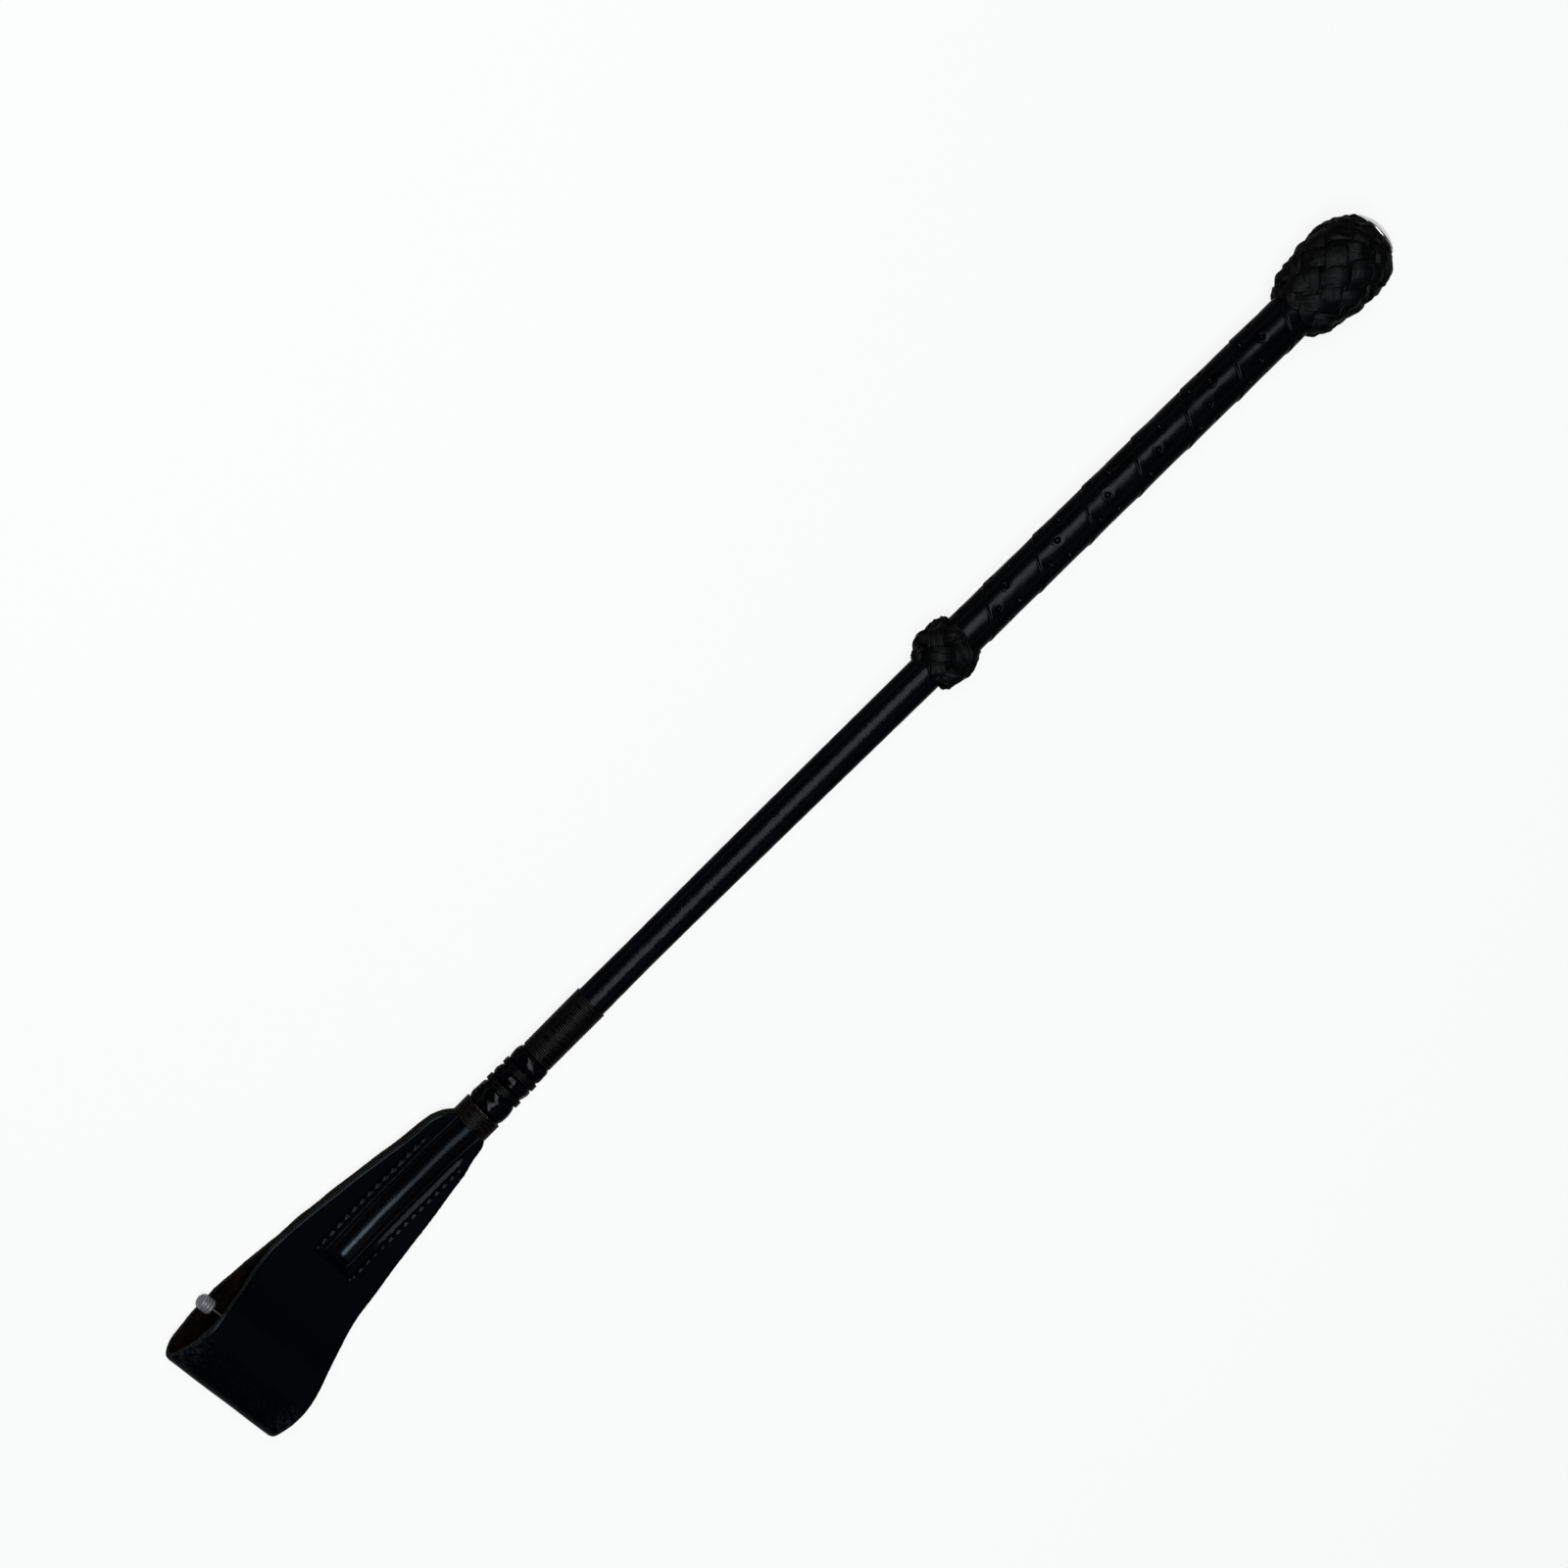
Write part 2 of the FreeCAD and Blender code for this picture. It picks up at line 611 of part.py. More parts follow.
def pommel_core():
    """Turned wooden ball under the pommel knot, domed under the cap."""
    bed = pommel_line(POMMEL_LACE_WALL + GLUE_GAP)
    low = bed[0][0]
    dome_r = CAP_SPHERE_R - CAP_WALL - GLUE_GAP
    end_x = pommel_top + GLUE_GAP
    dome_start = (end_x, math.sqrt(dome_r ** 2 - (end_x - cap_centre) ** 2))
    dome_tip = (cap_centre + dome_r, 0.0)
    half_angle = math.asin(dome_start[1] / dome_r) / 2
    half = V(cap_centre + dome_r * math.cos(half_angle), 0, dome_r * math.sin(half_angle))
    dome = Part.Arc(V(dome_start[0], 0, dome_start[1]), half, V(dome_tip[0], 0, 0)).toShape()
    rod_end = rod_top + GLUE_GAP
    bore = ROD_GRIP_R + GLUE_GAP
    bottom = max(low, wrap_top + GLUE_GAP)
    edges = [spline(bed), dome] + straights([bed[-1], (end_x, bed[-1][1]), dome_start])
    edges += straights([dome_tip, (rod_end, 0.0), (rod_end, bore), (bottom, bore), bed[0]])
    body = turned(Part.__sortEdges__(edges))
    nail = Part.makeCylinder(NAIL_R, NAIL_LENGTH, V(nail_low, 0, 0), AXIS)
    return one_solid(body.cut(nail))


def butt_cap():
    """Pressed metal dome that closes the pommel."""
    low = pommel_top + GLUE_GAP
    outer = Part.makeSphere(CAP_SPHERE_R, V(cap_centre, 0, 0))
    inner = Part.makeSphere(CAP_SPHERE_R - CAP_WALL, V(cap_centre, 0, 0))
    side = 3 * CAP_SPHERE_R
    keep = Part.makeBox(side, side, side, V(low, -side / 2, -side / 2))
    return one_solid(outer.cut(inner).common(keep))


def cap_nail():
    """Nail soldered in the cap and driven through the core into the rod."""
    point_length = 3 * NAIL_R
    low = nail_low
    radius = NAIL_R - GLUE_GAP / 2
    top = cap_tip - CAP_WALL - GLUE_GAP
    return turned_lines([(low + GLUE_GAP, 0.0), (low + point_length, radius), (top, radius), (top, 0.0)])


# ---- assembly -------------------------------------------------------------------------------

def loop_low_point():
    """Lowest point of the loop's outer face."""
    return min(loop_offset(LEAF_WALL / 2), key=lambda p: p.z)


def rest_placement(shapes):
    """Tip the crop so that the pommel and the flap touch z = 0, with the origin under its middle."""
    rest = loop_low_point()
    widest, _ = min(POMMEL_OUTLINE, key=lambda point: point[1])
    pommel_x = grip_top + widest * POMMEL_LENGTH
    pitch = math.degrees(math.atan2(POMMEL_R + rest.z, pommel_x - rest.x))
    tip = FreeCAD.Rotation(V(0, 1, 0), -pitch)
    whole = Part.makeCompound(shapes).copy()
    whole.Placement = FreeCAD.Placement(ORIGIN, tip)
    box = whole.optimalBoundingBox(False, False)
    shift = V(-box.Center.x, -box.Center.y, -box.ZMin)
    return FreeCAD.Placement(shift, tip)


NODES = {
    "core_rod": core_rod,
    "shaft_cover": shaft_cover,
    "shaft_seam_thread": shaft_seam_thread,
    "upper_winding": upper_winding,
    "neck_sleeve": neck_sleeve,
    "neck_sleeve_seam": neck_sleeve_seam,
    "neck_band_upper": lambda: neck_band(0),
    "neck_band_lower": lambda: neck_band(1),
    "lower_winding": lower_winding,
    "flap_pocket": flap_pocket,
    "pocket_stitching": pocket_stitching,
    "flap_loop": flap_loop,
    "tag_filament": tag_filament,
    "tag_lock_socket": tag_lock_socket,
    "tag_lock_pin": tag_lock_pin,
    "middle_knot_base": middle_knot_base,
    "middle_knot": middle_knot,
    "grip_tube": grip_tube,
    "grip_wrap": grip_wrap,
    "pommel_core": pommel_core,
    "pommel_knot": pommel_knot,
    "butt_cap": butt_cap,
    "cap_nail": cap_nail,
}

os.makedirs("parts", exist_ok=True)
shapes = {name: make() for name, make in NODES.items()}
placement = rest_placement(list(shapes.values()))
for name, shape in shapes.items():
    placed = shape.copy()
    placed.Placement = placement.multiply(placed.Placement)
    placed.exportStep("parts/" + name + ".step")
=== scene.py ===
import json
import math

import bpy
import numpy as np
from mathutils import Matrix


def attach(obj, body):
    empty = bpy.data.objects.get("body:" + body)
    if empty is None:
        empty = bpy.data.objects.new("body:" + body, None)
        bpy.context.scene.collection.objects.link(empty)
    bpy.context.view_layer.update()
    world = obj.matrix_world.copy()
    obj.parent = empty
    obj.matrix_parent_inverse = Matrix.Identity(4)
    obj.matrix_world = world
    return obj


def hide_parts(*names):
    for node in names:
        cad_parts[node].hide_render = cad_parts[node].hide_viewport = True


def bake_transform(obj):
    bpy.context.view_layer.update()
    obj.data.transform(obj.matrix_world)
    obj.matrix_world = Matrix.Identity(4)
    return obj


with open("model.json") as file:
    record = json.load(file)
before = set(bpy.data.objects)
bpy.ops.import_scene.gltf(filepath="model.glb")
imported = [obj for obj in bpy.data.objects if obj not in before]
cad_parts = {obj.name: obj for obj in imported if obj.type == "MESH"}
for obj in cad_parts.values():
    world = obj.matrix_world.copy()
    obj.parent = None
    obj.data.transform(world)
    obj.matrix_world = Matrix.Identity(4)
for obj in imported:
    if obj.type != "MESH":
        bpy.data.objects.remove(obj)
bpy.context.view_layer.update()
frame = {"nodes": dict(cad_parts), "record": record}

bl_info = {
    "name": "Riding crop",
    "version": (1, 0, 0),
    "blender": (4, 5, 0),
    "location": "View3D > Sidebar > Riding crop",
    "description": "Makes the leather, thread and metal pieces of a riding crop round its packed frame",
    "category": "Add Mesh",
}

# ---- the crop's own frame -------------------------------------------------------------------
# Shapes are worked out in millimetres along the crop: x towards the pommel from the middle of
# the bare shaft, y across, z out of the flap's front. Angles start at the front and turn to +y.

MM = 0.001
CLIP = next(mount for mount in frame["record"]["mounts"] if mount["name"] == "shaft_clip")
CENTRE = np.array(CLIP["pos_m"])
ALONG = np.array(CLIP["axis"]) / np.linalg.norm(CLIP["axis"])
ACROSS = np.array([0.0, 1.0, 0.0])
AXES = np.stack([ALONG, ACROSS, np.cross(ALONG, ACROSS)])


def in_row(points):
    """Points of the crop's frame, in millimetres, as points of the row's frame in metres."""
    return CENTRE + (np.asarray(points) * MM) @ AXES


def node_points(node):
    """A CAD node's own points in the crop's frame."""
    mesh = frame["nodes"][node].data
    flat = np.empty(len(mesh.vertices) * 3, np.float32)
    mesh.vertices.foreach_get("co", flat)
    return (flat.reshape(-1, 3) - CENTRE) @ AXES.T / MM


def reach(node):
    """Lowest and highest station of a CAD node."""
    stations = node_points(node)[:, 0]
    return float(stations.min()), float(stations.max())


def crown(node, stations, window=1.0, drop=1.2):
    """Outer radius of a turned CAD node: straight lines between its rings of points, leaving out
    rings that lie a drop or more below the widest one within the window, which are inner ones."""
    points = node_points(node)
    rings, member = np.unique(np.round(points[:, 0], 2), return_inverse=True)
    widest = np.zeros(len(rings))
    np.maximum.at(widest, member, np.hypot(points[:, 1], points[:, 2]))
    near = np.abs(rings[:, None] - rings[None, :]) <= window
    outer = widest > np.where(near, widest[None, :], 0.0).max(1) - drop
    return np.interp(stations, rings[outer], widest[outer])


def cover_radius(stations):
    """Outer radius of the shaft's leather cover."""
    return crown("shaft_cover", stations, 1000.0, 1.15)


def taper(node, stations, end=1.5):
    """Outer radius on a straight taper between the widest points near both ends of a node."""
    points = node_points(node)
    radius = np.hypot(points[:, 1], points[:, 2])
    low, high = points[:, 0].min(), points[:, 0].max()
    widest = [radius[points[:, 0] < low + end].max(), radius[points[:, 0] > high - end].max()]
    return np.interp(stations, [low, high], widest)


SLEEVE_TOP, SHAFT_LOW = reach("upper_winding")
FLAP_TOP, SLEEVE_LOW = reach("lower_winding")
SHAFT_TOP, GRIP_LOW = reach("middle_knot")
GRIP_TOP, POMMEL_TOP = reach("pommel_knot")
CAP_TIP = reach("butt_cap")[1]
POCKET_END = reach("flap_pocket")[0]
ROD_TIP = reach("core_rod")[0]
FOLD_X = reach("flap_loop")[0]
BOW_START = 20.0
TAG_JOINT = next(joint for joint in frame["record"]["behaviour"]["joints"] if joint["name"] == "tag_slide")
LOCK_R = 2.15
HINGE_X = reach("flap_loop")[1] - 2.4
HINGE_Z = -0.9

# ---- meshes ---------------------------------------------------------------------------------


def smooth_step(low, high, value):
    """0 below low, 1 above high, and a smooth cubic between them."""
    share = np.clip((value - low) / (high - low), 0.0, 1.0)
    return share * share * (3.0 - 2.0 * share)


def soft_max(first, second, reach_mm):
    """The larger of two heights, rounded where they meet: (a + b + sqrt((a-b)^2 + k^2)) / 2."""
    return (first + second + np.sqrt((first - second) ** 2 + reach_mm ** 2)) / 2


def unevenness(points, size, seed, waves=16):
    """Smooth random height of about -1 to 1: a sum of waves of one size in random directions."""
    draw = np.random.default_rng(seed)
    direction = draw.normal(size=(waves, 3))
    direction /= np.linalg.norm(direction, axis=1, keepdims=True)
    length = size * draw.uniform(0.7, 1.5, waves)
    phase = draw.uniform(0.0, 2 * np.pi, waves)
    turns = np.asarray(points) @ (direction * (2 * np.pi / length)[:, None]).T + phase
    return np.sin(turns).sum(-1) / math.sqrt(waves)


def around(count):
    """Angles once round the axis."""
    return np.linspace(0.0, 2 * np.pi, count, endpoint=False)


def ring_points(stations, radius, angle):
    """Points (x, r sin a, r cos a) for stations and radii over angles."""
    stations, radius, angle = np.broadcast_arrays(stations, radius, angle)
    return np.stack([stations, radius * np.sin(angle), radius * np.cos(angle)], -1)


def lengths(points):
    """Distance along a line of points, from its first."""
    steps = np.linalg.norm(np.diff(points, axis=0), axis=1)
    return np.concatenate([[0.0], np.cumsum(steps)])


def grid_body(points, rows_close, columns_close, rows_at=None):
    """Skin over a grid of points, with face (i, j) between neighbours and its UV in metres."""
    rows, columns = points.shape[:2]
    i, j = np.meshgrid(np.arange(rows if rows_close else rows - 1),
                       np.arange(columns if columns_close else columns - 1), indexing="ij")
    i, j = i.reshape(-1, 1), j.reshape(-1, 1)
    corner_i = np.hstack([i, i + 1, i + 1, i])
    corner_j = np.hstack([j, j, j + 1, j + 1])
    faces = (corner_i % rows) * columns + corner_j % columns
    if rows_at is None:
        rows_at = lengths(np.vstack([points[:, 0], points[:1, 0]]))
    middle = points[rows // 2]
    columns_at = lengths(np.vstack([middle, middle[:1]]))
    uv = np.stack([rows_at[corner_i], columns_at[corner_j]], -1) * MM
    return {"points": points.reshape(-1, 3), "faces": [faces], "uv": [uv], "layers": {}, "finish": []}


def outwards(body):
    """Turns a closed body's faces so that its volume, summed over its faces, is positive."""
    points, volume = body["points"], 0.0
    for faces in body["faces"]:
        for k in range(1, faces.shape[1] - 1):
            first, second, third = points[faces[:, 0]], points[faces[:, k]], points[faces[:, k + 1]]
            volume += np.einsum("ij,ij->", first, np.cross(second, third))
    if volume < 0.0:
        body["faces"] = [faces[:, ::-1] for faces in body["faces"]]
        body["uv"] = [uv[:, ::-1] for uv in body["uv"]]
    return body


def turned_wall(outer, inner, angle):
    """A closed wall: the grid of its outer face, then the line of its inner face back again."""
    inner = ring_points(inner[:, :1], inner[:, 1:], angle[None, :])
    return outwards(grid_body(np.concatenate([outer, inner]), True, True))


def turned_shape(outline, sides):
    """A solid turned about x from an outline of (x, radius) with no point on the axis but the
    ends, which are closed by one flat face each."""
    outline = np.asarray(outline, float)
    points = ring_points(outline[:, :1], outline[:, 1:], around(sides)[None, :])
    body = grid_body(points, False, True)
    close_tube(body, len(outline), sides)
    return outwards(body)


def close_tube(body, rows, columns):
    """Closes both open ends of a tube grid with one face each."""
    first = np.arange(columns)[None, :]
    body["faces"] += [first[:, ::-1], first + (rows - 1) * columns]
    body["uv"] += [np.zeros((1, columns, 2))] * 2


def swept(path, up, section, scale=None):
    """A section carried along a path. With t the path's direction, side = t x up made square to
    both, point(i, j) = path(i) + scale(i) * (side(i) * section_x(j) + top(i) * section_y(j))."""
    tangent = np.gradient(path, axis=0)
    tangent /= np.linalg.norm(tangent, axis=1, keepdims=True)
    side = np.cross(tangent, up)
    side /= np.linalg.norm(side, axis=1, keepdims=True)
    top = np.cross(side, tangent)
    section = np.broadcast_to(section, (len(path),) + np.shape(section)[-2:])
    if scale is not None:
        section = section * np.asarray(scale)[:, None, None]
    points = path[:, None] + side[:, None] * section[..., :1] + top[:, None] * section[..., 1:]
    body = grid_body(points, False, True, rows_at=lengths(path))
    close_tube(body, len(path), section.shape[1])
    return outwards(body)


def round_section(radius, sides):
    """Points of a circle."""
    return radius * np.stack([np.cos(around(sides)), np.sin(around(sides))], -1)


def strap_section(width, wall, sides, flatness=0.55):
    """Points of a flat strap with rounded edges: cos and sin of the angle raised to a power."""
    c, s = np.cos(around(sides)), np.sin(around(sides))
    return np.stack([width / 2 * np.sign(c) * np.abs(c) ** flatness,
                     wall / 2 * np.sign(s) * np.abs(s) ** flatness], -1)


def joined(bodies):
    """Several bodies as one mesh."""
    whole = {"points": np.concatenate([b["points"] for b in bodies]), "faces": [], "uv": [], "finish": []}
    start = 0
    for body in bodies:
        whole["faces"] += [faces + start for faces in body["faces"]]
        whole["uv"] += body["uv"]
        start += len(body["points"])
    names = {name for body in bodies for name in body["layers"]}
    whole["layers"] = {name: np.concatenate([body["layers"].get(name, np.zeros(len(body["points"])))
                                             for body in bodies]) for name in names}
    return whole


def repeated(shape, places):
    """Many equal tubes at once: shape is one tube's points in (along, side, up), and places is a
    list of (origin, along, side, up) whose vectors carry the size."""
    rows, columns = shape.shape[:2]
    bodies = []
    for origin, along, side, up in places:
        moved = origin + shape[..., :1] * along + shape[..., 1:2] * side + shape[..., 2:] * up
        body = grid_body(moved, False, True)
        close_tube(body, rows, columns)
        bodies.append(outwards(body))
    return joined(bodies)


def make_piece(name, body, finishes, rides, stands_for=()):
    """Puts a body into a mesh object of the row's frame, set aside with the crop's bow and held
    up by the floor, with its UVs, layers and finishes."""
    mesh = bpy.data.meshes.new(name)
    points = np.array(body["points"], float)
    points[:, 1] += bow(points[:, 0])
    points = in_row(above_floor(points))
    mesh.vertices.add(len(points))
    mesh.vertices.foreach_set("co", points.astype(np.float32).ravel())
    corners = np.concatenate([faces.ravel() for faces in body["faces"]])
    sizes = np.concatenate([np.full(len(faces), faces.shape[1]) for faces in body["faces"]])
    mesh.loops.add(len(corners))
    mesh.loops.foreach_set("vertex_index", corners.astype(np.int32))
    mesh.polygons.add(len(sizes))
    starts = np.concatenate([[0], np.cumsum(sizes)[:-1]])
    mesh.polygons.foreach_set("loop_start", starts.astype(np.int32))
    mesh.polygons.foreach_set("use_smooth", np.ones(len(sizes), bool))
    for finish in finishes:
        mesh.materials.append(finish)
    if len(body["finish"]):
        mesh.polygons.foreach_set("material_index", body["finish"].astype(np.int32))
    mesh.update(calc_edges=True)
    uv = np.concatenate([corner.reshape(-1, 2) for corner in body["uv"]])
    mesh.uv_layers.new(name="Surface").data.foreach_set("uv", uv.astype(np.float32).ravel())
    for layer, values in body["layers"].items():
        attribute = mesh.attributes.new(layer, "FLOAT", "POINT")
        attribute.data.foreach_set("value", np.asarray(values, np.float32).ravel())
    if mesh.validate():
        raise RuntimeError(f"the mesh of {name} has faults")
    piece = bpy.data.objects.new(name, mesh)
    bpy.context.scene.collection.objects.link(piece)
    if isinstance(rides, str):
        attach(piece, rides)
    else:
        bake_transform(piece)
    if stands_for:
        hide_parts(*stands_for)
    return piece


# ---- finishes -------------------------------------------------------------------------------


class Bench:
    """Lays out the nodes of one material."""

    def __init__(self, name):
        self.material = bpy.data.materials.new(name)
        self.material.use_nodes = True
        self.tree = self.material.node_tree
        self.shader = self.tree.nodes["Principled BSDF"]
        self.place = self.node("TexCoord", {}).outputs["Object"]

    def put(self, node, inputs):
        """Fills a node's sockets: a socket is linked, anything else is its value."""
        for name, value in inputs.items():
            if isinstance(value, bpy.types.NodeSocket):
                self.tree.links.new(value, node.inputs[name])
            else:
                node.inputs[name].default_value = value

    def node(self, kind, inputs, **settings):
        made = self.tree.nodes.new("ShaderNode" + kind)
        for name, value in settings.items():
            setattr(made, name, value)
        self.put(made, inputs)
        return made

    def surface(self):
        return self.node("UVMap", {}, uv_map="Surface").outputs["UV"]

    def layer(self, name):
        return self.node("Attribute", {}, attribute_name=name).outputs["Fac"]

    def stretched(self, source, scale):
        return self.node("Mapping", {"Vector": source, "Scale": scale}).outputs["Vector"]

    def noise(self, source, size_mm, detail=3.0, rough=0.55, bend=0.0):
        """Cloudy noise whose lumps are about the given size."""
        return self.node("TexNoise", {"Vector": source, "Scale": 1.0 / (size_mm * MM), "Detail": detail,
                                      "Roughness": rough, "Distortion": bend}).outputs["Fac"]

    def cells(self, source, size_mm):
        """Distance to the nearest of scattered points, which gives pebbles."""
        return self.node("TexVoronoi", {"Vector": source, "Scale": 1.0 / (size_mm * MM)}).outputs["Distance"]

    def ramp(self, source, low, high, start=0.0, end=1.0):
        """A straight or clipped change from one number to another as the source goes low to high."""
        return self.node("MapRange", {"Value": source, "From Min": low, "From Max": high, "To Min": start,
                                      "To Max": end}).outputs["Result"]

    def maths(self, operation, first, second=0.0):
        made = self.node("Math", {}, operation=operation)
        self.put(made, {0: first, 1: second})
        return made.outputs[0]

    def mix(self, share, first, second):
        """Colour between two colours."""
        made = self.node("Mix", {}, data_type="RGBA")
        colours = [c if isinstance(c, bpy.types.NodeSocket) else tuple(c)[:3] + (1.0,)
                   for c in (first, second)]
        self.put(made, {0: share, 6: colours[0], 7: colours[1]})
        return made.outputs[2]

    def bump(self, height, depth_mm, under=None):
        made = self.node("Bump", {"Height": height, "Distance": depth_mm * MM, "Strength": 1.0})
        if under is not None:
            self.put(made, {"Normal": under})
        return made.outputs["Normal"]

    def shades(self, source, low, high, colour, dark, light):
        """A colour that goes from a darker to a lighter share of itself as the source goes low to high."""
        return self.mix(self.ramp(source, low, high), tone(colour, dark), tone(colour, light))

    def turned_away(self, level, low=0.07, high=0.26, rest=0.1):
        """A gloss level that sinks to a share of itself as the surface turns from the eye."""
        facing = self.node("LayerWeight", {"Blend": 0.5}).outputs["Facing"]
        return self.maths("MULTIPLY", self.ramp(facing, low, high, 1.0, rest), level)

    def done(self, **inputs):
        """Sets the shader's own sockets, with spaces for underscores, and gives the material."""
        self.put(self.shader, {name.replace("_", " "): value for name, value in inputs.items()})
        return self.material


def tone(colour, share):
    """A colour made darker or lighter by a share."""
    return tuple(min(1.0, part * share) for part in tuple(colour)[:3])


def smooth_leather(name, colour, grain_mm, grain_depth, shine, gloss, ribs=False, with_painted_shade=False):
    """Dyed leather: cloudy colour, fine pebble grain, and a roughness that varies with both; on request,
    near-black painted shade in holes and grooves from the mesh's layer.
    """
    bench = Bench(name)
    clouds = bench.noise(bench.place, 14.0, 4.0)
    pebbles = bench.cells(bench.place, grain_mm)
    pores = bench.noise(bench.place, grain_mm * 0.6, 5.0, 0.7)
    colours = bench.shades(clouds, 0.3, 0.7, colour, 0.6, 1.5)
    normal = bench.bump(pebbles, grain_depth)
    normal = bench.bump(pores, grain_depth * 0.8, normal)
    if ribs:
        wrinkles = bench.noise(bench.stretched(bench.place, (1.0, 0.22, 0.22)), 0.85, 2.0, 0.5)
        normal = bench.bump(wrinkles, 0.06, normal)
        streaks = bench.noise(bench.stretched(bench.place, (0.05, 1.0, 1.0)), 2.2, 3.0)
        shares = [bench.maths("MULTIPLY", streaks, 0.6), bench.maths("MULTIPLY", clouds, 0.4)]
        clouds = bench.maths("ADD", *shares)
    if with_painted_shade:
        # Painted shade: near black where the mesh's layer marks holes and grooves
        colours = bench.mix(bench.layer("pit"), colours, (0.001, 0.001, 0.001))
    rough = bench.ramp(clouds, 0.3, 0.7, *gloss)
    return bench.done(Base_Color=colours, Roughness=rough, Normal=normal,
                      Specular_IOR_Level=bench.turned_away(shine))


def knot_leather(name, colour):
    """Matte lace leather with creases and fibres that run along each lace."""
    bench = Bench(name)
    along = bench.stretched(bench.surface(), (0.12, 1.0, 1.0))
    fibres = bench.noise(along, 0.55, 5.0, 0.7)
    creases = bench.noise(along, 1.7, 3.0, 0.6, 0.6)
    clouds = bench.noise(bench.place, 5.0, 4.0, 0.6)
    scuffs = bench.ramp(fibres, 0.52, 0.75)
    colours = bench.shades(clouds, 0.35, 0.65, colour, 0.4, 1.5)
    patches = bench.ramp(bench.noise(bench.place, 9.0, 2.0), 0.5, 0.66)
    worn = bench.maths("MULTIPLY", scuffs, bench.maths("ADD", bench.maths("MULTIPLY", patches, 0.6), 0.25))
    colours = bench.mix(worn, colours, tone(colour, 6.0))
    normal = bench.bump(creases, 0.9)
    normal = bench.bump(fibres, 0.3, normal)
    rough = bench.ramp(clouds, 0.3, 0.7, 0.42, 0.62)
    return bench.done(Base_Color=colours, Roughness=rough, Normal=normal,
                      Specular_IOR_Level=bench.turned_away(0.13), Sheen_Weight=0.002, Sheen_Roughness=0.5)


def thread_finish(name, colour, worn, shine=0.3, worn_share=0.35, haze=0.0):
    """Waxed thread: strand by strand changes of shade, worn patches, and a haze of loose fibres
    that shows towards the sides."""
    bench = Bench(name)
    strands = bench.noise(bench.stretched(bench.surface(), (0.4, 1.0, 1.0)), 0.5, 3.0)
    turns = bench.noise(bench.stretched(bench.place, (1.0, 0.1, 0.1)), 0.8, 2.0)
    patches = bench.noise(bench.place, 6.0, 3.0)
    colours = bench.shades(turns, 0.42, 0.58, colour, 0.3, 1.9)
    wear = bench.maths("MULTIPLY", bench.ramp(patches, 0.45, 0.7), worn_share)
    colours = bench.mix(wear, colours, worn)
    normal = bench.bump(strands, 0.06)
    bench.put(bench.shader, {"Sheen Tint": tuple(tone(worn, 20.0)) + (1.0,)})
    return bench.done(Base_Color=colours, Roughness=bench.ramp(turns, 0.4, 0.6, 0.26, 0.5), Normal=normal,
                      Specular_IOR_Level=bench.turned_away(shine), Sheen_Weight=haze, Sheen_Roughness=0.4)


def patent_finish(name, colour):
    """Patent leather: a hard clear coat over a dented, softly creased base."""
    bench = Bench(name)
    dents = bench.noise(bench.place, 4.5, 2.0, 0.4)
    creases = bench.noise(bench.stretched(bench.place, (0.35, 1.0, 1.0)), 1.6, 2.0)
    colours = bench.shades(dents, 0.3, 0.7, colour, 0.6, 1.5)
    normal = bench.bump(creases, 0.12, bench.bump(dents, 0.5))
    return bench.done(Base_Color=colours, Roughness=bench.ramp(creases, 0.3, 0.7, 0.11, 0.2), Normal=normal,
                      Specular_IOR_Level=bench.turned_away(0.05), Coat_Weight=bench.turned_away(0.07),
                      Coat_Roughness=0.04)


def flap_face(name, colour, scuff):
    """The flap's dressed face: fine grain, faint creases, grey scuffs where wear says, and near-black
    painted shade in the seam's holes.
    """
    bench = Bench(name)
    clouds = bench.noise(bench.place, 18.0, 4.0)
    pebbles = bench.cells(bench.place, 0.7)
    pores = bench.noise(bench.place, 0.5, 5.0, 0.7)
    scratches = bench.noise(bench.stretched(bench.place, (1.0, 0.6, 1.0)), 1.3, 6.0, 0.75)
    wear = bench.maths("MULTIPLY", bench.layer("wear"), bench.ramp(scratches, 0.46, 0.62))
    colours = bench.shades(clouds, 0.3, 0.7, colour, 0.8, 1.2)
    colours = bench.mix(bench.maths("MULTIPLY", wear, 0.8), colours, scuff)
    # Painted shade: near black in the seam's holes, from the mesh's layer
    colours = bench.mix(bench.layer("pit"), colours, (0.001, 0.001, 0.001))
    normal = bench.bump(pores, 0.01, bench.bump(pebbles, 0.012))
    rough = bench.maths("ADD", bench.ramp(clouds, 0.3, 0.7, 0.16, 0.24), bench.maths("MULTIPLY", wear, 0.3))
    gloss = bench.maths("ADD", bench.maths("MULTIPLY", bench.layer("polish"), 0.2), 0.065)
    bench.put(bench.shader, {"Specular Tint": (0.72, 0.86, 1.0, 1.0)})
    return bench.done(Base_Color=colours, Roughness=rough, Normal=normal,
                      Specular_IOR_Level=bench.turned_away(gloss))


def suede_finish(name, colour, nap=0.005):
    """Suede: a mottled, very rough nap with a faint sheen."""
    bench = Bench(name)
    clouds = bench.noise(bench.place, 4.0, 5.0, 0.65)
    fibres = bench.noise(bench.place, 0.35, 4.0, 0.8)
    colours = bench.shades(clouds, 0.44, 0.62, colour, 0.06, 2.1)
    colours = bench.mix(bench.ramp(fibres, 0.55, 0.8), colours, tone(colour, 2.6))
    normal = bench.bump(fibres, 0.35)
    return bench.done(Base_Color=colours, Roughness=bench.ramp(fibres, 0.3, 0.7, 0.85, 1.0), Normal=normal,
                      Specular_IOR_Level=bench.turned_away(0.05), Sheen_Weight=nap, Sheen_Roughness=0.6)


